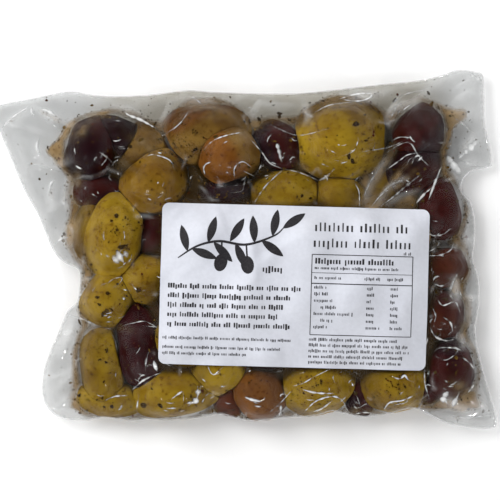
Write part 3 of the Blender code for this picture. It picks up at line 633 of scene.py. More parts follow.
def cell_edges(x, y, rng):
    """0 on the lines between random cells about 1 wide, and up to about 1 inside the cells."""
    i, j = np.floor(x).astype(int), np.floor(y).astype(int)
    low_i, low_j = i.min() - 1, j.min() - 1
    shape = (i.max() - low_i + 2, j.max() - low_j + 2)
    shift_x, shift_y = rng.uniform(0.1, 0.9, shape), rng.uniform(0.1, 0.9, shape)
    gaps = []
    for di in (-1, 0, 1):
        for dj in (-1, 0, 1):
            a, b = i + di, j + dj
            cell = (a - low_i, b - low_j)
            gaps.append(np.hypot(a + shift_x[cell] - x, b + shift_y[cell] - y))
    nearest = np.partition(np.stack(gaps), 1, axis=0)
    return nearest[1] - nearest[0]


def averaged(field):
    """Each grid point's mean of its four neighbours."""
    wide = np.pad(field, 1, mode="edge")
    return (wide[2:, 1:-1] + wide[:-2, 1:-1] + wide[1:-1, 2:] + wide[1:-1, :-2]) / 4


class Films:
    """The heights of both films and of what they hold, on a grid, with the reads between its points."""

    def __init__(self, bag):
        self.upper = self.lower = None
        for step in FIELD_STEPS:
            self._solve(step, bag)
        for _ in range(EVENING_ROUNDS):
            self.upper = (self.upper + averaged(self.upper)) / 2
            self.lower = (self.lower + averaged(self.lower)) / 2
        self._crumple()
        self._find_depths()

    def _solve(self, step, bag):
        half_x, half_y = FIELD_HALF
        xs = np.arange(-half_x, half_x + step / 2, step)
        ys = np.arange(-half_y, half_y + step / 2, step)
        x, y = np.meshgrid(xs, ys, indexing="ij")
        away = distance_from_olives(x, y)
        seam = seam_heights(x, y, away)
        olive_top, olive_base = heap_heights(x, y, OLIVES)
        top = np.maximum(seam + MARGIN_THICKNESS / 2, olive_top)
        underside = np.minimum(seam - MARGIN_THICKNESS / 2, olive_base)
        for pocket in POCKETS:
            half = pocket_half_depth(x, y, pocket)
            top = np.where(half > 0, np.maximum(top, seam + half), top)
            underside = np.where(half > 0, np.minimum(underside, seam - half), underside)
        underside = np.maximum(underside, 0.0)
        free = bag.holds(np.stack([x.ravel(), y.ravel()], axis=1)).reshape(x.shape)
        upper_pull = np.where(under_label(x, y, LABEL_HOLD), LABEL_PULL, UPPER_PULL) * step**2 / 4
        lower_pull = LOWER_PULL * step**2 / 4
        upper_start = top if self.upper is None else self.at(self.upper, x, y)
        lower_start = underside if self.lower is None else self.at(self.lower, x, y)
        upper = np.where(free, np.maximum(upper_start, top), seam + MARGIN_THICKNESS / 2)
        lower = np.where(free, np.minimum(lower_start, underside), seam - MARGIN_THICKNESS / 2)
        for _ in range(RELAX_ROUNDS):
            upper = np.where(free, np.maximum(averaged(upper) - upper_pull, top), upper)
            lower = np.where(free, np.clip(averaged(lower) + lower_pull, 0.0, underside), lower)
        self.xs, self.ys, self.step, self.x, self.y = xs, ys, step, x, y
        self.upper, self.lower, self.away, self.free = upper, lower, away, free
        self.solid_top = olive_top

    def _find_depths(self):
        """The space between the films, and the oil's depth over and under the olives in it."""
        skin_top, skin_base = heap_heights(self.x, self.y, [swollen(olive) for olive in OLIVES])
        self.room = self.upper - self.lower
        filled = (skin_top > 0) & (self.room > THINNEST_OLIVE)
        self.over = np.where(filled, np.clip(self.upper - skin_top, 0.0, None), self.room)
        self.under = np.where(filled, np.clip(skin_base - self.lower, 0.0, None), self.room)
        for _ in range(DEPTH_ROUNDS):
            self.over, self.under = averaged(self.over), averaged(self.under)

    def _crumple(self):
        """Fine facets, where free film is drawn together, pleats, and a slight unevenness everywhere."""
        gap = np.clip(self.upper - self.solid_top, 0.0, 30.0)
        loose = smoothstep(0.0, 1.5, gap)
        in_margin = smoothstep(2.0, 7.0, self.away)
        at_label = under_label(self.x, self.y, 1.0)
        soft, fine, patchy, bend_x, bend_y = (np.zeros_like(self.x) for _ in range(5))
        for i, j in np.argwhere(self.free & ~at_label):
            place = Vector((self.x[i, j], self.y[i, j], 0.0))
            soft[i, j] = noise.noise(place / 6.0 + Vector((3.0, 1.0, 5.0)))
            fine[i, j] = noise.noise(place / 2.6 + Vector((8.0, 2.0, 6.0)))
            patchy[i, j] = noise.noise(place / 9.0 + Vector((1.0, 7.0, 2.0)))
            bend_x[i, j], bend_y[i, j], _ = noise.noise_vector(place / 10.0) * FACET_BEND
        rng = np.random.default_rng(3)
        edge = cell_edges((self.x + bend_x) / FACET_SIZE, (self.y + bend_y) / FACET_SIZE, rng)
        ridges = np.exp(-((edge / RIDGE_WIDTH) ** 2)) * smoothstep(-0.05, 0.3, patchy)
        lift = (RIDGE_HEIGHT * ridges * loose * (1 - 0.6 * in_margin) + SOFT_HEIGHT * soft * (1 + loose)
                + FINE_HEIGHT * fine * (1 + loose))
        lift += MARGIN_WAVES * soft * in_margin
        lift = np.where(self.free & ~at_label, lift, 0.0)
        # whitening along loose ridges, and below it the pleats' white: partly a painted highlight
        self.gathered_and_glint = 0.16 * ridges * loose * (1 - 0.8 * in_margin) * (self.free & ~at_label)
        for width, whiteness_and_glint, *course in PLEATS:
            low, high = np.min(course, axis=0) - 2 * width, np.max(course, axis=0) + 2 * width
            columns = slice(*np.searchsorted(self.xs, (low[0], high[0])))
            rows = slice(*np.searchsorted(self.ys, (low[1], high[1])))
            fold = near_course(self.x[columns, rows], self.y[columns, rows], course, width)
            lift[columns, rows] += PLEAT_HEIGHT * width * fold
            self.gathered_and_glint[columns, rows] += 0.75 * whiteness_and_glint * fold
        self.upper = np.maximum(self.upper + np.maximum(lift, -0.15), self.lower + 0.35)

    def at(self, field, x, y):
        """The field's value between its grid points."""
        i = np.clip((x - self.xs[0]) / self.step, 0, len(self.xs) - 1.001)
        j = np.clip((y - self.ys[0]) / self.step, 0, len(self.ys) - 1.001)
        return read_grid(field, i, j)


def lattice(region, step):
    """Points of a triangular lattice that lie inside the region and clear of its edge."""
    low, high = region.outline.min(axis=0), region.outline.max(axis=0)
    rows = []
    for k, y in enumerate(np.arange(low[1], high[1], step * math.sqrt(0.75))):
        xs = np.arange(low[0] + (k % 2) * step / 2, high[0], step)
        rows.append(np.stack([xs, np.full_like(xs, y)], axis=1))
    points = np.concatenate(rows)
    return points[region.depth(points) > 0.55 * step]


def triangles_inside(region, points):
    """(points, triangles) that fill the region: its outline's points come first, and triangles face up."""
    outline = region.outline
    count = len(outline)
    given = [Vector(p) for p in np.concatenate([outline, points])]
    ring = [(i, (i + 1) % count) for i in range(count)]
    made, _, faces, *_ = delaunay_2d_cdt(given, ring, [], 0, 1e-6, False)
    flat = np.array([(p.x, p.y) for p in made])
    corners = np.array(faces)
    corners = corners[region.holds(flat[corners].mean(axis=1))]
    a, b, c = (flat[corners[:, k]] for k in range(3))
    backwards = (b[:, 0] - a[:, 0]) * (c[:, 1] - a[:, 1]) < (b[:, 1] - a[:, 1]) * (c[:, 0] - a[:, 0])
    corners[backwards] = corners[backwards][:, ::-1]
    return flat, corners


def make_mesh(name, points, faces, material, smooth=True):
    """A new object from points in millimetres."""
    mesh = bpy.data.meshes.new(name)
    mesh.from_pydata((np.asarray(points, float) * MM).tolist(), [], [tuple(int(i) for i in f) for f in faces])
    if smooth:
        mesh.shade_smooth()
    mesh.materials.append(material)
    obj = bpy.data.objects.new(name, mesh)
    bpy.context.scene.collection.objects.link(obj)
    return obj


def rim_faces(shift, ring):
    """Faces between the edges of two sheets: each edge has ring points, the second's from shift on."""
    return [(i, shift + i, shift + (i + 1) % ring, (i + 1) % ring) for i in range(ring)]


def set_colours(obj, name, colours):
    """Stores a colour with each of the object's points."""
    values = np.ones((len(obj.data.vertices), 4), np.float32)
    values[:, :np.shape(colours)[1]] = colours
    obj.data.color_attributes.new(name, "FLOAT_COLOR", "POINT").data.foreach_set("color", values.ravel())


def set_values(obj, name, values):
    """Stores a number with each of the object's points."""
    obj.data.attributes.new(name, "FLOAT", "POINT").data.foreach_set("value", np.asarray(values, np.float32))


def keep(obj, slot, *nodes):
    """Attaches a finished piece to the root body and hides the imported parts that it stands for."""
    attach(obj, "root")
    if nodes:
        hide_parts(*nodes)
    return obj


def strip(course, widths, profile):
    """(points in plan, heights, faces) of a strip along a course. Its profile across it is made of
    (share of the half width, height)."""
    along = np.gradient(course, axis=0)
    along /= np.linalg.norm(along, axis=1)[:, None]
    across = np.stack([-along[:, 1], along[:, 0]], axis=1)
    rows = [course + across * (widths * share / 2)[:, None] for share, _ in profile]
    flat = np.stack(rows, axis=1).reshape(-1, 2)
    heights = np.tile([height for _, height in profile], len(course))
    n = len(profile)
    faces = [
        (i * n + k, i * n + k + 1, (i + 1) * n + k + 1, (i + 1) * n + k)
        for i in range(len(course) - 1)
        for k in range(n - 1)
    ]
    return flat, heights, np.array(faces)[:, ::-1]


def small_folds(films):
    """Short folds round the olives' flanks, most on the sides towards the front light, as in CREASES. Their
    white paints glints there.
    """
    rng = np.random.default_rng(17)
    slope_x, slope_y = np.gradient(films.upper, films.step)
    made = []
    while len(made) < SMALL_FOLDS:
        place = rng.uniform(*FOLDED_AREA)
        room, steep_x, steep_y = (float(films.at(field, *place)) for field in (films.room, slope_x, slope_y))
        steepness = math.hypot(steep_x, steep_y)
        if under_label(*place, 0.6) or room < 3.0 or not 0.15 < steepness < 1.4:
            continue
        towards = -(steep_x * FRONT[0] + steep_y * FRONT[1]) / steepness
        if rng.random() > 0.12 + 0.88 * max(towards, 0.0) ** 2:
            continue
        course, step = [place], rng.uniform(0.35, 1.3)
        for _ in range(3):
            steep_x, steep_y = (float(films.at(field, *course[-1])) for field in (slope_x, slope_y))
            along = np.array([-steep_y, steep_x]) / max(math.hypot(steep_x, steep_y), 0.05)
            course.append(course[-1] + step * along + rng.normal(0.0, 0.12, 2))
        # a random whiteness for each fold, which paints a glint on it
        made.append((rng.uniform(0.3, 0.75), rng.uniform(0.15, 1.0), *course))
    return made


def crease_strips(films):
    """(points, faces, whiteness) of every crease, as low folds that stand on the upper film. The whiteness is
    partly a painted highlight.
    """
    points, faces, white_and_glint, count = [], [], [], 0
    for width, whiteness_and_glint, *course in (*CREASES, *small_folds(films)):
        course = smooth_course(course, 0.4)
        share = np.linspace(0.0, 1.0, len(course))
        uneven = np.array([noise.noise(Vector((x / 1.7, y / 1.7, 3.0))) for x, y in course])
        strength = np.sin(math.pi * share) ** 0.5 * np.clip(0.75 + 1.1 * uneven, 0.25, 1.0)
        widths = CREASE_WIDTH * width * np.maximum(strength, 0.12)
        height = 0.12 + 0.16 * width
        profile = ((-1.0, -CREASE_DIP), (-0.5, 0.6 * height), (0.0, height), (0.5, 0.5 * height),
                   (1.0, -CREASE_DIP))
        # whiteness across the fold, crisp on one side: a painted highlight
        across = np.array((0.3, 1.0, 1.0, 0.5, 0.0))
        flat, heights, quads = strip(course, widths, profile)
        heights = np.where(heights > 0, heights * np.repeat(strength, len(profile)), heights)
        z = films.at(films.upper, *flat.T) + heights
        points.append(np.column_stack([flat, z]))
        faces.append(quads + count)
        white_and_glint.append((whiteness_and_glint * strength[:, None] * across).ravel())
        count += len(flat)
    return np.concatenate(points), np.concatenate(faces), np.concatenate(white_and_glint)


def sheet_white_and_glint(films, bag, upper, lower):
    """How white both sheets' points are: at the cut edge, at gathered folds and pleats, partly as a painted
    highlight, and in the margin at the right and below at the left.
    """
    edge = bag.depth(np.concatenate([upper, lower])[:, :2])
    white_and_glint = 0.5 * np.exp(-((edge / 0.4) ** 2))
    x, y, _ = upper.T
    in_margin = smoothstep(2.0, 6.0, films.at(films.away, x, y))
    low_left = smoothstep(-56.0, -64.0, x) * smoothstep(-18.0, -28.0, y)
    white_and_glint[:len(upper)] += films.at(films.gathered_and_glint, x, y)
    white_and_glint[:len(upper)] += in_margin * (MARGIN_WHITE_RIGHT * smoothstep(74.0, 84.0, x) + MARGIN_WHITE_LOW_LEFT * low_left)
    return white_and_glint


def make_film(films, bag, material):
    """The clear bag: upper sheet, lower sheet, the rim that joins them, and the creases on top."""
    above = lattice(bag, UPPER_STEP)
    above = above[~under_label(*above.T, -HIDDEN_INSET)]
    hidden = lattice(bag, HIDDEN_STEP)
    hidden = hidden[under_label(*hidden.T, -HIDDEN_INSET - HIDDEN_STEP / 2)]
    upper_flat, upper_faces = triangles_inside(bag, np.concatenate([above, hidden]))
    lower_flat, lower_faces = triangles_inside(bag, lattice(bag, LOWER_STEP))
    upper = np.column_stack([upper_flat, films.at(films.upper, *upper_flat.T)])
    lower = np.column_stack([lower_flat, films.at(films.lower, *lower_flat.T)])
    shift = len(upper)
    folds, fold_faces, fold_white_and_glint = crease_strips(films)
    fold_shift = shift + len(lower)
    faces = [*upper_faces.tolist(), *(lower_faces[:, ::-1] + shift).tolist(),
             *rim_faces(shift, len(bag.outline)), *(fold_faces + fold_shift).tolist()]
    points = np.concatenate([upper, lower, folds])
    obj = make_mesh("film", points, faces, material)
    set_values(obj, "whiteness_and_glint", np.append(sheet_white_and_glint(films, bag, upper, lower), fold_white_and_glint))
    x, y = upper_flat.T
    wet = np.zeros(len(points))
    wet[:shift] = smoothstep(40.0, 50.0, y) * smoothstep(-64.0, -40.0, x) * smoothstep(78.0, 60.0, x)
    set_values(obj, "wetness", wet)
    return keep(obj, "film", "pouch")


def cloudiness(films, x, y):
    """How milky the oil is, in the pockets, in the streaks and by the seal, and how much the streaks veil."""
    value = 0.25 * (1 - smoothstep(3.0, 8.0, films.at(films.room, x, y)))
    for pocket in POCKETS:
        share, aside = along_pocket(x, y, pocket)
        value = np.maximum(value, smoothstep(0.1, 0.6, share) * smoothstep(0.9, 0.35, aside / pocket.width))
    veil = np.zeros_like(x)
    for cx, cy, long, wide, turn, strength in CLOUDS:
        u, v = turned(x - cx, y - cy, turn)
        veil = np.maximum(veil, strength * np.exp(-((u / long) ** 2) - (v / wide) ** 2))
    ragged = np.array([noise.noise(Vector((px / 3.2, py / 3.2, 4.0))) for px, py in zip(x, y)])
    veil = np.clip(veil * (1 + 0.9 * ragged), 0.0, 1.0)
    return np.maximum(value, veil), veil


def oil_looks(films, flat, room):
    """(colours, cover) of the oil's points, those under the upper film first."""
    milky, veil = (np.tile(field, 2) for field in cloudiness(films, *flat.T))
    depth = np.concatenate([films.at(films.over, *flat.T), films.at(films.under, *flat.T)]) + VEIL * veil
    room = np.tile(room, 2)
    cover = np.clip(1 - np.exp(-depth / (OIL_REACH - MILKY_LOSS * milky)), 0.0, 0.97)
    cover *= smoothstep(THINNEST_OIL, THINNEST_OIL + FULL_OIL, room)
    # painted light and shade: the oil is dark brown deep between the olives and amber and lighter by the
    # seal, and milky oil is darkened where it is deep
    by_seal = 1 - smoothstep(2.0, 6.0, room)[:, None]
    clear = SHADED_BROWN_OIL + (LIT_AMBER_OIL - SHADED_BROWN_OIL) * by_seal
    deep_shade = smoothstep(2.0, 12.0, depth)[:, None]
    return clear + (PALE_OIL - clear) * milky[:, None] * (1 - 0.45 * deep_shade), cover


def make_oil(films, bag, material):
    """The marinade between film and olives: clear over them, dark between them as painted shade, and milky by
    the seal.
    """
    flat, faces = triangles_inside(bag, lattice(bag, OIL_STEP))
    room = films.at(films.room, *flat.T)
    faces = faces[(room[faces] > THINNEST_OIL).all(axis=1)]
    used, faces = np.unique(faces, return_inverse=True)
    faces = faces.reshape(-1, 3)
    flat, room, count = flat[used], room[used], len(used)
    upper = films.at(films.upper, *flat.T) - OIL_DEPTH
    lower = films.at(films.lower, *flat.T) + OIL_DEPTH
    edges = np.sort(np.concatenate([faces[:, [0, 1]], faces[:, [1, 2]], faces[:, [2, 0]]]), axis=1)
    lone, times = np.unique(edges, axis=0, return_counts=True)
    lone = lone[times == 1]
    rim = np.column_stack([lone, lone[:, ::-1] + count])
    points = np.concatenate([np.column_stack([flat, upper]), np.column_stack([flat, lower])])
    all_faces = [*faces.tolist(), *(faces[:, ::-1] + count).tolist(), *rim.tolist()]
    obj = make_mesh("oil", points, all_faces, material)
    colours, cover = oil_looks(films, flat, room)
    set_colours(obj, "oil_colour", colours)
    set_values(obj, "oil_cover", cover)
    bm = bmesh.new()
    bm.from_mesh(obj.data)
    bmesh.ops.recalc_face_normals(bm, faces=bm.faces)
    bm.to_mesh(obj.data)
    bm.free()
    return keep(obj, "oil")


def unit_ball(detail):
    """(directions, faces) of a round ball."""
    bm = bmesh.new()
    bmesh.ops.create_icosphere(bm, subdivisions=detail, radius=1.0)
    directions = np.array([v.co for v in bm.verts])
    faces = np.array([[v.index for v in f.verts] for f in bm.faces])
    bm.free()
    return directions / np.linalg.norm(directions, axis=1)[:, None], faces


def to_olive(points, olive):
    """Points in the olive's own axes, as shares of its half sizes."""
    u, v = turned(points[:, 0] - olive.x, points[:, 1] - olive.y, olive.turn)
    w = points[:, 2] - middle_height(olive)
    return np.stack([2 * u / olive.length, 2 * v / olive.width, 2 * w / olive.height], axis=1)


def from_olive(shares, olive):
    """The reverse of to_olive."""
    u, v = shares[:, 0] * olive.length / 2, shares[:, 1] * olive.width / 2
    x, y = turned(u, v, -olive.turn)
    z = shares[:, 2] * olive.height / 2 + middle_height(olive)
    return np.stack([x + olive.x, y + olive.y, z], axis=1)


def drawn_in(points, middle, is_clear):
    """Moves the points that aren't clear towards the middle, just until they are."""
    caught = np.flatnonzero(~is_clear(points))
    if not len(caught):
        return points
    start = points[caught]
    low, high = np.zeros(len(caught)), np.ones(len(caught))
    for _ in range(12):
        share = (low + high) / 2
        clear = is_clear(middle + share[:, None] * (start - middle))
        low, high = np.where(clear, share, low), np.where(clear, high, share)
    points = points.copy()
    points[caught] = middle + low[:, None] * (start - middle)
    return points


def pressed(points, olive, films):
    """Moves a swollen olive's points back to where it meets its neighbours, and clear of the seal."""
    middle = from_olive(np.zeros((1, 3)), olive)
    for other in map(swollen, OLIVES):
        apart = math.hypot(other.x - olive.x, other.y - olive.y)
        if apart < 0.01 or apart > (olive.length + other.length) / 2:
            continue
        points = drawn_in(points, middle, lambda trial, other=other: (
            np.linalg.norm(to_olive(trial, other), axis=1)
            > np.linalg.norm(to_olive(trial, olive), axis=1) + OLIVE_GAP))
    return drawn_in(points, middle, lambda trial: films.at(films.room, *trial[:, :2].T) > THINNEST_OLIVE)


def faceted(directions, rng):
    """How far each direction reaches in a ball of radius 1 with a few softly flattened places."""
    normals = rng.normal(size=(FACETS, 3)) * (1.0, 1.0, 0.6)
    normals /= np.linalg.norm(normals, axis=1)[:, None]
    cosines = np.maximum(directions @ normals.T, 0.05)
    reach = rng.uniform(0.80, 0.95, FACETS) / cosines
    return (1 + (reach**-16.0).sum(axis=1)) ** (-1 / 16.0)


def plump(ball, seed, uneven, rng):
    """(shares of an olive's half sizes before it is pressed, lumpiness) in each of the ball's directions."""
    taper = rng.uniform(0.02, 0.06)
    shares = ball / (np.abs(ball) ** SQUARENESS).sum(axis=1)[:, None] ** (1 / SQUARENESS)
    shares[:, 1:] *= (1 - taper * (1 + ball[:, 0]))[:, None]
    shares *= faceted(ball, rng)[:, None]
    lumps = np.array([noise.noise(Vector(d) * 1.3 + seed) for d in ball])
    dents = np.array([noise.noise(Vector(d) * 4.0 + seed) for d in ball])
    shares *= (1 - uneven * (0.03 * (0.5 + lumps) + 0.012 * (0.5 + dents)))[:, None]
    return shares, lumps


def olive_mesh(given, films, rng):
    """(points, faces, colours) of one olive: a plump body with a stem scar, pressed on all sides."""
    olive = swollen(given)
    ball, faces = unit_ball(OLIVE_DETAIL)
    seed = Vector(rng.uniform(-50, 50, 3))
    shares, lumps = plump(ball, seed, DARK_UNEVENNESS if olive.kind == "dark" else 1.0, rng)
    points = pressed(from_olive(shares, olive), olive, films)
    tip = math.radians(rng.uniform(15, 50))
    stem = np.array([-math.cos(tip), rng.uniform(-0.3, 0.3), math.sin(tip)])
    stem /= np.linalg.norm(stem)
    angle = np.arccos(np.clip(ball @ stem, -1, 1)) * math.sqrt(olive.length * olive.width) / 2
    dimple = 0.5 * np.exp(-((angle / 0.9) ** 2))
    ceiling = films.at(films.upper, *points[:, :2].T) - OLIVE_DEPTH
    floor = films.at(films.lower, *points[:, :2].T) + OLIVE_DEPTH
    points[:, 2] = ceiling - soft_positive(ceiling - points[:, 2] + dimple)
    points[:, 2] = floor + soft_positive(points[:, 2] - floor)
    side = np.array([math.cos(seed.x), math.sin(seed.x), 0.0])
    patchy = smoothstep(-0.1, 0.6, ball @ side + 0.7 * lumps)[:, None]
    tone, patch = np.array(TONES[olive.tone]), np.array(TONES[olive.patch])
    colours = tone + (patch - tone) * patchy
    scar = np.exp(-((angle / 0.9) ** 2))[:, None]
    return points, faces, colours * (1 - 0.6 * scar)


def make_olives(kind, films, material, seed):
    """All olives of one kind, as one piece."""
    rng = np.random.default_rng(seed)
    points, faces, colours, count = [], [], [], 0
    for olive in OLIVES:
        if olive.kind != kind:
            continue
        made, balls, tones = olive_mesh(olive, films, rng)
        points.append(made)
        faces.append(balls + count)
        colours.append(tones)
        count += len(made)
    obj = make_mesh(f"{kind}_olives", np.concatenate(points), np.concatenate(faces), material)
    set_colours(obj, "skin", np.concatenate(colours))
    return keep(obj, f"{kind}_olive")


def flake(x, y, size, stretch, turn, rng):
    """Corners of one ragged leaf flake in plan, anticlockwise, its middle first."""
    count = int(rng.integers(5, 9))
    angles = np.sort(rng.uniform(0, 2 * math.pi, count))
    angles = 0.5 * angles + 0.5 * np.linspace(0, 2 * math.pi, count, endpoint=False)
    radii = size / 2 * rng.uniform(0.6, 1.1, count)
    u, v = radii * np.cos(angles), radii * np.sin(angles) / stretch
    dx, dy = turned(u, v, -turn)
    return np.column_stack([np.append(x, x + dx), np.append(y, y + dy)])


HERBS = (
    # on the film's margin: x, y, size
    (-74.0, 55.5, 0.9), (-57.0, 53.5, 1.2), (-50.0, 53.5, 0.7), (-39.0, 51.5, 0.7), (-28.0, 54.0, 0.7),
    (-5.5, 56.5, 1.1), (17.0, 57.0, 1.4), (9.6, 55.0, 1.2), (10.4, 53.6, 1.3), (12.5, 50.5, 2.0),
    (5.0, 48.5, 1.7), (16.5, 48.0, 1.0), (18.0, 48.0, 0.9), (22.0, 52.5, 1.0), (55.5, 55.5, 2.2),
    (68.0, 58.0, 2.0), (69.0, 54.0, 1.8), (71.5, 52.5, 0.9), (-66.0, 25.0, 0.8), (81.0, -21.5, 0.9),
    (56.5, 57.5, 1.2),
    # larger leaves over the olives
    (38.0, 34.0, 2.6), (39.5, 32.5, 2.4), (40.5, 46.0, 3.0), (44.0, 40.0, 1.6), (-47.5, 12.5, 2.2),
    (-45.0, 1.0, 3.2), (-43.5, 0.2, 2.0), (-54.5, -17.5, 1.8), (-54.0, -20.0, 1.7), (-50.5, -16.0, 1.6),
    (-51.0, -23.0, 2.6), (-52.5, -24.0, 2.0), (-49.5, -22.0, 1.8), (-49.5, -58.0, 2.2), (-37.5, -57.5, 2.4),
    (-31.5, -57.5, 2.0), (-20.0, -54.0, 1.6), (-16.0, -52.0, 1.8), (12.8, 50.2, 1.2), (-38.5, 40.6, 2.2),
)


def herb_spots(films, bag, rng):
    """(x, y, size, side) of every flake: first the listed ones, then scattered ones, most in the valleys."""
    spots = [(x, y, 1.3 * size, 1) for x, y, size in HERBS]
    low, high = bag.outline.min(axis=0), bag.outline.max(axis=0)
    while len(spots) < HERB_COUNT:
        x, y = rng.uniform(low, high)
        patchy = noise.noise(Vector((x / 16.0, y / 16.0, 9.0))) + 0.5
        side = 1 if len(spots) < HERBS_ABOVE else -1
        if side > 0 and under_label(x, y, -1.0):
            continue
        room = float(films.at(films.room, np.array(x), np.array(y)))
        valley = float(smoothstep(0.5, 2.2, films.at(films.over, np.array(x), np.array(y))))
        share = 0.08 + 0.8 * max(patchy, 0.0) ** 3 + 0.45 * valley if room > 5.0 else 0.75
        if rng.random() > (share if room > THINNEST_OIL + 0.2 else 0.05):
            continue
        spots.append((x, y, 0.26 + 0.36 * float(rng.exponential()), side))
    return spots


def make_herbs(films, bag, material):
    """Dried leaf flakes and chilli specks just under the film, above and below."""
    rng = np.random.default_rng(31)
    spots = herb_spots(films, bag, rng)
    edge = bag.depth(np.array([spot[:2] for spot in spots]))
    points, faces, colours, count = [], [], [], 0
    for (x, y, size, side), reach in zip(spots, edge):
        if reach < size:
            continue
        flat = flake(x, y, size, rng.uniform(1.0, 2.4), rng.uniform(0, 360), rng)
        n = len(flat)
        field = films.upper if side > 0 else films.lower
        z = films.at(field, *flat.T) - side * HERB_DEPTH
        for drop in (0.0, HERB_THICKNESS):
            points.append(np.column_stack([flat, z - side * drop]))
        ring = list(range(1, n))
        for a, b in zip(ring, ring[1:] + ring[:1]):
            top, base = (0, a, b), (n, n + b, n + a)
            faces += [[count + i for i in top], [count + i for i in base]]
            faces += [[count + i for i in (a, n + a, n + b, b)]]
        count += 2 * n
        tint = HERB_COLOURS[rng.choice(len(HERB_COLOURS), p=HERB_SHARES)]
        colours.append(np.tile(tint * rng.uniform(0.7, 1.3), (2 * n, 1)))
    obj = make_mesh("herbs", np.concatenate(points), faces, material, smooth=False)
    set_colours(obj, "tint", np.concatenate(colours))
    return keep(obj, "herbs")


def on_label(films, flat):
    """x, y and z on the label's upper side of points in the label's own axes."""
    x, y = turned(flat[:, 0], flat[:, 1], -LABEL.turn)
    x, y = x + LABEL.x, y + LABEL.y
    return x, y, films.at(films.label, x, y)


def fold_height(u, v, crease):
    """Height of one soft paper fold: a straight ridge that is steeper on one side and fades at its ends."""
    start, end = np.array(crease.start), np.array(crease.end)
    length = math.dist(crease.start, crease.end)
    along = (end - start) / length
    run = (u - start[0]) * along[0] + (v - start[1]) * along[1]
    aside = (v - start[1]) * along[0] - (u - start[0]) * along[1]
    fade = smoothstep(-4.0, 4.0, run) * smoothstep(-4.0, 4.0, length - run)
    width = np.where(aside > 0, 0.55, 1.0) * crease.width
    return crease.height * fade * np.exp(-((aside / width) ** 2))


def solve_label(films):
    """Works out the label's height on the films' grid: it follows the film, with soft creases of its own."""
    u, v = turned(films.x - LABEL.x, films.y - LABEL.y, LABEL.turn)
    lift = np.zeros_like(u)
    for i, j in np.argwhere(under_label(films.x, films.y, 3.0)):
        place = Vector((u[i, j], v[i, j], 0.0))
        lift[i, j] = sum(height * noise.noise(place / width) for width, height in LABEL_WAVES)
    for crease in PAPER_CREASES:
        lift += fold_height(u, v, crease)
    films.label = films.upper + LABEL_GAP + LABEL_THICKNESS + soft_positive(lift + LABEL_LIFT)
    for _ in range(LABEL_ROUNDS):
        films.label = averaged(films.label)


def make_label(films, material):
    """The paper label with round corners."""
    corner_turns = np.radians(np.linspace(0.0, 90.0, 7))
    edge = []
    for quarter, (sx, sy) in enumerate(((1, 1), (-1, 1), (-1, -1), (1, -1))):
        middle = np.array([sx * (LABEL.width / 2 - LABEL.corner), sy * (LABEL.height / 2 - LABEL.corner)])
        angles = corner_turns + math.radians(90.0 * quarter)
        edge.extend(middle + LABEL.corner * np.stack([np.cos(angles), np.sin(angles)], axis=1))
    filled = []
    for start, end in zip(edge, edge[1:] + edge[:1]):
        count = max(1, round(float(np.linalg.norm(end - start)) / LABEL_STEP))
        filled.extend(start + (end - start) * k / count for k in range(count))
    sheet = Region(np.array(filled))
    flat, faces = triangles_inside(sheet, lattice(sheet, LABEL_STEP))
    x, y, z = on_label(films, flat)
    upper, lower = np.column_stack([x, y, z]), np.column_stack([x, y, z - LABEL_THICKNESS])
    shift = len(flat)
    all_faces = [*faces.tolist(), *(faces[:, ::-1] + shift).tolist(), *rim_faces(shift, len(sheet.outline))]
    obj = make_mesh("label_sheet", np.concatenate([upper, lower]), all_faces, material)
    obj.data.set_sharp_from_angle(angle=math.radians(50))
    return keep(obj, "label_paper", "label")


Crease = namedtuple("Crease", "start end width height")
PAPER_CREASES = (
    Crease((-30.0, 29.0), (-24.5, 17.0), 2.0, 0.9),
    Crease((-17.5, 27.0), (-14.0, 1.0), 2.6, 1.2),
    Crease((-14.0, 7.0), (9.0, 26.0), 3.0, 0.9),
    Crease((-22.0, -2.0), (-17.0, -14.0), 2.4, 0.8),
    Crease((31.0, 9.0), (42.0, -9.0), 2.4, 0.8),
    Crease((41.0, 27.0), (48.0, 20.0), 1.6, 0.9),
    Crease((43.0, -15.0), (49.0, -22.0), 1.6, 0.8),
    Crease((-48.0, 22.0), (-42.0, 28.0), 1.4, 0.9),
    Crease((-46.0, -9.0), (-30.0, -13.0), 2.6, 0.7),
    Crease((-4.0, -13.0), (6.0, -27.0), 2.2, 0.8),
    Crease((12.0, -28.0), (28.0, -22.0), 2.0, 0.7),
    Crease((6.0, 12.0), (20.0, 2.0), 2.2, 0.7),
    Crease((-44.0, 2.0), (-34.0, 9.0), 2.0, 0.6),
    Crease((18.0, -4.0), (30.0, 6.0), 1.8, 0.5),
)


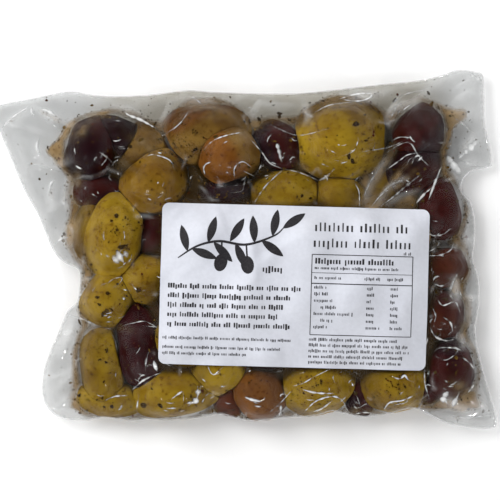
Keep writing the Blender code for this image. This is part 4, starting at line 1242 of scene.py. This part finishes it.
class Print:
    """Flat shapes of ink on the label, in the label's own axes: x and y from its middle."""

    def __init__(self, films):
        self.films, self.points, self.faces, self.count = films, [], [], 0

    def add(self, flat, faces):
        x, y, z = on_label(self.films, flat)
        self.points.append(np.column_stack([x, y, z + PRINT_THICKNESS]))
        self.faces += [[self.count + int(i) for i in face] for face in faces]
        self.count += len(flat)

    def stroke(self, course, width, ends=1.0, step=0.8):
        """A line of ink along a course. Its ends narrow to the given share."""
        course = smooth_course(course, step)
        share = np.linspace(0.0, 1.0, len(course))
        widths = width * (ends + (1 - ends) * np.sin(math.pi * share) ** 0.7)
        flat, _, faces = strip(course, widths, ((-1.0, 0.0), (0.0, 0.0), (1.0, 0.0)))
        self.add(flat, faces)

    def words(self, left, right, y, height, rng, weight=0.52):
        """A line of small upright blocks in groups, like words: weight is a block's share of its place."""
        pitch = 0.72 * height
        x = left
        while x < right - height:
            for _ in range(int(rng.integers(2, 10))):
                if x > right - pitch:
                    break
                low = y - height / 2 - (0.35 * height if rng.random() < 0.12 else 0.0)
                high = y + height / 2 + (0.40 * height if rng.random() < 0.3 else 0.0)
                middle, width = x + pitch / 2, pitch * weight * rng.uniform(0.75, 1.35)
                self.stroke([(middle, low), (middle, high)], width)
                x += pitch
            x += 0.75 * height

    def leaf(self, x, y, length, width, turn):
        """A pointed leaf from its stalk end."""
        rows, wide = 15, 5
        share = np.linspace(0.0, 1.0, rows)
        half = width / 2 * np.sin(math.pi * share) ** 0.8
        across = np.linspace(-1.0, 1.0, wide)
        u = np.repeat(share * length, wide)
        v = (half[:, None] * across).ravel()
        dx, dy = turned(u, v, -turn)
        faces = [
            (i * wide + k, (i + 1) * wide + k, (i + 1) * wide + k + 1, i * wide + k + 1)
            for i in range(rows - 1)
            for k in range(wide - 1)
        ]
        self.add(np.column_stack([x + dx, y + dy]), faces)

    def oval(self, x, y, length, width, turn):
        """A filled oval."""
        rings, spokes = 4, 20
        angles = np.linspace(0, 2 * math.pi, spokes, endpoint=False)
        radii = np.arange(1, rings + 1) / rings
        u = np.append(0.0, (radii[:, None] * np.cos(angles)).ravel() * length / 2)
        v = np.append(0.0, (radii[:, None] * np.sin(angles)).ravel() * width / 2)
        dx, dy = turned(u, v, -turn)
        faces = [(0, 1 + k, 1 + (k + 1) % spokes) for k in range(spokes)]
        for r in range(rings - 1):
            base = 1 + r * spokes
            for k in range(spokes):
                after = (k + 1) % spokes
                faces.append((base + k, base + spokes + k, base + spokes + after, base + after))
        self.add(np.column_stack([x + dx, y + dy]), faces)


def print_sprig(ink):
    """A stem with leaves and two olives."""
    stem = [(-43.0, 9.5), (-36.0, 14.0), (-28.0, 16.0), (-18.0, 15.0), (-8.0, 18.5), (-4.5, 21.5)]
    ink.stroke(stem, 0.9, ends=0.4)
    for x, y, turn in ((-39.5, 12.0, 105), (-38.0, 13.0, -20), (-32.0, 15.4, 75), (-30.0, 15.6, -45),
                       (-24.0, 16.0, 60), (-22.0, 15.4, -65), (-15.0, 15.8, 95), (-12.5, 16.8, -35),
                       (-8.5, 18.4, 80), (-4.8, 21.3, 35)):
        ink.leaf(x, y, 10.0, 3.1, turn)
    for x, y, turn in ((-27.2, 8.2, 75), (-17.4, 7.6, 100)):
        ink.oval(x, y, 6.6, 4.8, turn)
    ink.stroke([(-27.0, 15.6), (-26.9, 11.2)], 0.6)
    ink.stroke([(-18.0, 15.0), (-17.6, 10.6)], 0.6)


def print_lines(ink, rng):
    """Lines of small bars at the left, and the two largest at the top right."""
    ink.words(-12.0, -3.0, 6.0, 1.5, rng)
    for k, right in enumerate((2.6, -1.0, -3.5, -4.0, 0.4)):
        ink.words(-46.5, right, -0.9 - 3.5 * k, 1.25, rng, 0.6)
    for right, y in ((-0.5, -19.9), (-3.5, -23.3), (-17.0, -25.6)):
        ink.words(-48.0, right, y, 0.75, rng)
    for left, right, y in ((6.6, 43.0, 21.8), (6.2, 44.0, 16.0)):
        ink.words(left, right, y, 2.3, rng, 0.36)
    ink.words(39.8, 43.2, 13.0, 0.8, rng)


def print_table(ink, rng):
    """A ruled table of small bars."""
    left, right, top, base = 6.2, 43.4, 12.1, -17.4
    for course in (((left, top), (right, top)), ((left, base), (right, base)),
                   ((left, top), (left, base)), ((right, top), (right, base))):
        ink.stroke(course, 0.28)
    ink.words(7.2, 37.5, 9.5, 1.5, rng)
    ink.words(7.2, 38.5, 7.1, 0.75, rng)
    ink.stroke([(left, 5.4), (right, 5.4)], 0.18)
    for start, end in ((7.2, 17.5), (25.5, 31.5), (34.0, 40.5)):
        ink.words(start, end, 3.5, 0.75, rng)
    ink.stroke([(left, 1.5), (right, 1.5)], 0.34)
    for k, (indent, long) in enumerate(((0, 5), (0, 5.5), (0, 7), (2.5, 7), (0, 15), (2.5, 5), (0, 5.5))):
        y = 0.0 - 2.42 * k
        ink.words(7.2 + indent, 7.2 + indent + long, y, 0.8, rng)
        ink.words(26.5, 29.5 + (k == 6) * 2.5, y, 0.8, rng)
        ink.words(35.3, 38.3 + (k == 6) * 2.5, y, 0.8, rng)


def make_print(films, material):
    """A sprig of olives, lines of small bars, and a ruled table with more lines under it."""
    ink, rng = Print(films), np.random.default_rng(5)
    print_sprig(ink)
    print_lines(ink, rng)
    print_table(ink, rng)
    for k, end in enumerate((38.5, 42.5, 43.5, 41.5, 40.0)):
        ink.words(5.8, end, -19.2 - 2.1 * k, 0.8, rng)
    obj = make_mesh("print", np.concatenate(ink.points), ink.faces, material)
    return keep(obj, "ink")


class Nodes:
    """A new material and short calls that add to it."""

    def __init__(self, name):
        self.material = bpy.data.materials.new(name)
        self.material.use_nodes = True
        self.tree = self.material.node_tree
        self.tree.nodes.clear()
        self.output = self.tree.nodes.new("ShaderNodeOutputMaterial")

    def new(self, kind, inputs=None, **settings):
        node = self.tree.nodes.new(kind)
        for key, value in settings.items():
            setattr(node, key, value)
        for key, value in (inputs or {}).items():
            if isinstance(value, bpy.types.NodeSocket):
                self.tree.links.new(value, node.inputs[key])
            else:
                node.inputs[key].default_value = value
        return node

    def finish(self, socket):
        self.tree.links.new(socket, self.output.inputs["Surface"])
        return self.material

    def surface(self, inputs):
        """Finishes the material as one plain surface."""
        return self.finish(self.new("ShaderNodeBsdfPrincipled", inputs).outputs[0])

    def place(self):
        return self.new("ShaderNodeNewGeometry").outputs["Position"]

    def noise(self, scale, detail=3.0, rough=0.55):
        return self.new("ShaderNodeTexNoise", {"Vector": self.place(), "Scale": scale, "Detail": detail,
                                               "Roughness": rough}).outputs["Fac"]

    def grey(self, value, low, high):
        """Maps low..high to 0..1."""
        return self.new("ShaderNodeMapRange", {"Value": value, "From Min": low,
                                               "From Max": high}).outputs["Result"]

    def math(self, operation, a, b=0.0):
        return self.new("ShaderNodeMath", {0: a, 1: b}, operation=operation).outputs["Value"]

    def mix(self, share, a, b, blend="MIX"):
        node = self.new("ShaderNodeMix", data_type="RGBA", blend_type=blend)
        for key, value in ((0, share), (6, a), (7, b)):
            if isinstance(value, bpy.types.NodeSocket):
                self.tree.links.new(value, node.inputs[key])
            else:
                node.inputs[key].default_value = (*value, 1.0) if key and len(value) == 3 else value
        return node.outputs[2]

    def clouded(self, colour, pattern, low, high, shade):
        """The colour, multiplied by shade where the pattern is high."""
        shaded = self.mix(1.0, colour, shade, "MULTIPLY")
        return self.mix(self.grey(pattern, low, high), colour, shaded)

    def bump(self, height, strength, distance):
        return self.new("ShaderNodeBump", {"Height": height, "Strength": strength,
                                           "Distance": distance}).outputs["Normal"]

    def attribute(self, name, output="Color"):
        return self.new("ShaderNodeAttribute", attribute_name=name).outputs[output]


def film_material():
    """Clear film with soft facets, a thin haze, glossy patches that follow its bumps, and white painted
    highlights along its creases and pleats.
    """
    n = Nodes("clear_film")
    place = n.place()
    drift = n.new("ShaderNodeTexNoise", {"Vector": place, "Scale": 90.0}).outputs["Color"]
    bent = n.new("ShaderNodeVectorMath", {0: drift, 1: (0.006, 0.006, 0.006), 2: place},
                 operation="MULTIPLY_ADD").outputs[0]
    facets = n.new("ShaderNodeTexVoronoi", {"Vector": bent, "Scale": 150.0},
                   feature="DISTANCE_TO_EDGE").outputs["Distance"]
    height = n.math("ADD", n.noise(300.0, 1.0), n.math("MULTIPLY", n.math("MINIMUM", facets, 0.35), 0.9))
    waves = n.bump(height, 0.4, 0.0006)
    wet = n.math("MULTIPLY", n.attribute("wetness", "Fac"), n.grey(n.noise(60.0), 0.1, 0.55))
    tint = n.mix(wet, (0.828, 0.832, 0.832), (0.600, 0.575, 0.515))
    clear = n.new("ShaderNodeBsdfTransparent", {"Color": tint}).outputs[0]
    haze_and_glint = n.new("ShaderNodeBsdfDiffuse", {"Color": (0.92, 0.93, 0.93, 1.0)}).outputs[0]
    shine = n.new("ShaderNodeBsdfGlossy", {"Color": (1.0, 1.0, 1.0, 1.0), "Roughness": 0.07,
                                           "Normal": waves}).outputs[0]
    # the white is partly painted highlight: it lays diffuse white and more gloss along the creases and pleats
    white_and_glint = n.attribute("whiteness_and_glint", "Fac")
    haze_patches = n.math("MULTIPLY", n.grey(n.noise(75.0, 5.0, 0.65), 0.52, 0.80), 0.03)
    cover = n.math("ADD", n.math("MULTIPLY", white_and_glint, 0.80), haze_patches)
    body = n.new("ShaderNodeMixShader", {0: cover, 1: clear, 2: haze_and_glint}).outputs[0]
    facing = n.new("ShaderNodeLayerWeight", {"Blend": 0.5, "Normal": waves}).outputs["Facing"]
    grazing = n.math("MULTIPLY", n.math("POWER", facing, 5.0), 0.4)
    share = n.math("ADD", n.math("ADD", grazing, 0.007), n.math("MULTIPLY", white_and_glint, 0.3))
    return n.finish(n.new("ShaderNodeMixShader", {0: share, 1: body, 2: shine}).outputs[0])


def oil_material():
    """Unevenly cloudy oil, with the colour and cover that its mesh carries."""
    n = Nodes("marinade")
    drift = n.noise(170.0, 4.0)
    tone = n.attribute("oil_colour")
    colour = n.clouded(tone, drift, 0.35, 0.7, (0.62, 0.56, 0.46))
    cover = n.math("MULTIPLY", n.attribute("oil_cover", "Fac"), n.math("ADD", n.grey(drift, -0.2, 1.0), 0.45))
    cover = n.new("ShaderNodeClamp", {"Value": cover}).outputs[0]
    return n.surface({"Base Color": colour, "Alpha": cover, "Roughness": 0.5, "Specular IOR Level": 0.1})


def olive_material(kind, fleck, fleck_from, roughness, wrinkle):
    """A moist skin: the olive's own colour, clouded at two scales, with flecks and small pores."""
    n = Nodes(f"{kind}_olive_skin")
    broad = n.clouded(n.attribute("skin"), n.noise(120.0, 5.0, 0.65), 0.42, 0.66, (0.66, 0.57, 0.46))
    fine = n.clouded(broad, n.noise(600.0, 4.0), 0.56, 0.68, (0.62, 0.52, 0.42))
    spots = n.grey(n.noise(800.0, 2.0), fleck_from, fleck_from + 0.04)
    colour = n.mix(spots, fine, fleck)
    wrinkles = n.math("MULTIPLY", n.noise(300.0, 3.0), wrinkle)
    height = n.math("ADD", wrinkles, n.math("MULTIPLY", n.noise(1500.0), 0.1))
    return n.surface({"Base Color": colour, "Roughness": roughness, "Specular IOR Level": 0.08,
                      "Normal": n.bump(height, 0.4, 0.0004)})


def herb_material():
    n = Nodes("dried_herbs")
    tint = n.mix(n.grey(n.noise(1800.0), 0.3, 0.7), n.attribute("tint"), (0.026, 0.015, 0.004))
    return n.surface({"Base Color": tint, "Roughness": 0.9, "Specular IOR Level": 0.05})


def paper_material():
    n = Nodes("label_paper")
    colour = n.mix(n.grey(n.noise(700.0, 4.0), 0.3, 0.7), (0.585, 0.600, 0.660), (0.545, 0.560, 0.615))
    normal = n.bump(n.noise(1400.0, 4.0), 0.15, 0.0003)
    return n.surface({"Base Color": colour, "Roughness": 0.42, "Normal": normal})


def ink_material():
    n = Nodes("ink")
    colour = n.mix(n.grey(n.noise(1500.0), 0.35, 0.65), (0.010, 0.009, 0.011), (0.024, 0.022, 0.025))
    return n.surface({"Base Color": colour, "Roughness": 0.55, "Specular IOR Level": 0.3})


def floor_material():
    pale = (0.96, 0.96, 0.96, 1.0)
    return Nodes("pale_floor").surface({"Base Color": pale, "Roughness": 0.9, "Specular IOR Level": 0.0})


def area_light(name, place, size, watts, mirrored=True):
    """A round light that faces the pouch. One that isn't mirrored leaves no patch on glossy things."""
    data = bpy.data.lights.new(name, "AREA")
    data.shape = "DISK"
    data.size = size
    data.energy = watts
    obj = bpy.data.objects.new(name, data)
    obj.location = place
    obj.visible_glossy = mirrored
    obj.rotation_euler = (-Vector(place)).to_track_quat("-Z", "Y").to_euler()
    bpy.context.scene.collection.objects.link(obj)


def make_world():
    """A room with pale walls and a darker ceiling."""
    world = bpy.data.worlds.new("studio")
    world.use_nodes = True
    tree = world.node_tree
    place = tree.nodes.new("ShaderNodeTexCoord").outputs["Generated"]
    height = tree.nodes.new("ShaderNodeSeparateXYZ")
    tree.links.new(place, height.inputs[0])
    ramp = tree.nodes.new("ShaderNodeValToRGB")
    tree.links.new(height.outputs["Z"], ramp.inputs["Fac"])
    ramp.color_ramp.elements[0].position, ramp.color_ramp.elements[1].position = 0.0, 1.0
    ramp.color_ramp.elements[0].color = (WALL_LIGHT,) * 3 + (1.0,)
    ramp.color_ramp.elements[1].color = (CEILING_LIGHT,) * 3 + (1.0,)
    tree.links.new(ramp.outputs["Color"], tree.nodes["Background"].inputs["Color"])
    bpy.context.scene.world = world


def make_stage():
    """Floor, light and the camera straight above."""
    bpy.ops.mesh.primitive_plane_add(size=4.0, location=(0, 0, -0.0001))
    floor = bpy.context.object
    floor.name = "floor"
    floor.data.materials.append(floor_material())
    make_world()
    area_light("soft key", (-0.72, 0.60, 0.82), 0.9, 13.5, mirrored=False)
    area_light("front right", (0.42, -0.62, 0.66), 0.04, 1.3)
    area_light("front left", (-0.45, -0.50, 0.74), 0.035, 0.7)
    camera = bpy.data.objects.new("camera", bpy.data.cameras.new("camera"))
    camera.location = CAMERA_PLACE
    camera.data.sensor_width = SENSOR
    camera.data.lens = SENSOR * (CAMERA_PLACE[2] - VIEWED_HEIGHT) / VIEW_WIDTH
    bpy.context.scene.collection.objects.link(camera)
    bpy.context.scene.camera = camera
    bpy.context.scene.view_settings.view_transform = "Standard"


def main():
    """Makes every piece, then the stage."""
    noise.seed_set(NOISE_SEED)
    outline = smooth_course(OUTLINE, EDGE_STEP, closed=True)
    outline -= (outline.min(axis=0) + outline.max(axis=0)) / 2
    bag = Region(outline[::-1])
    films = Films(bag)
    solve_label(films)
    make_film(films, bag, film_material())
    make_oil(films, bag, oil_material())
    for kind, seed, *skin in KINDS:
        make_olives(kind, films, olive_material(kind, *skin), seed)
    make_herbs(films, bag, herb_material())
    make_label(films, paper_material())
    make_print(films, ink_material())
    make_stage()


main()
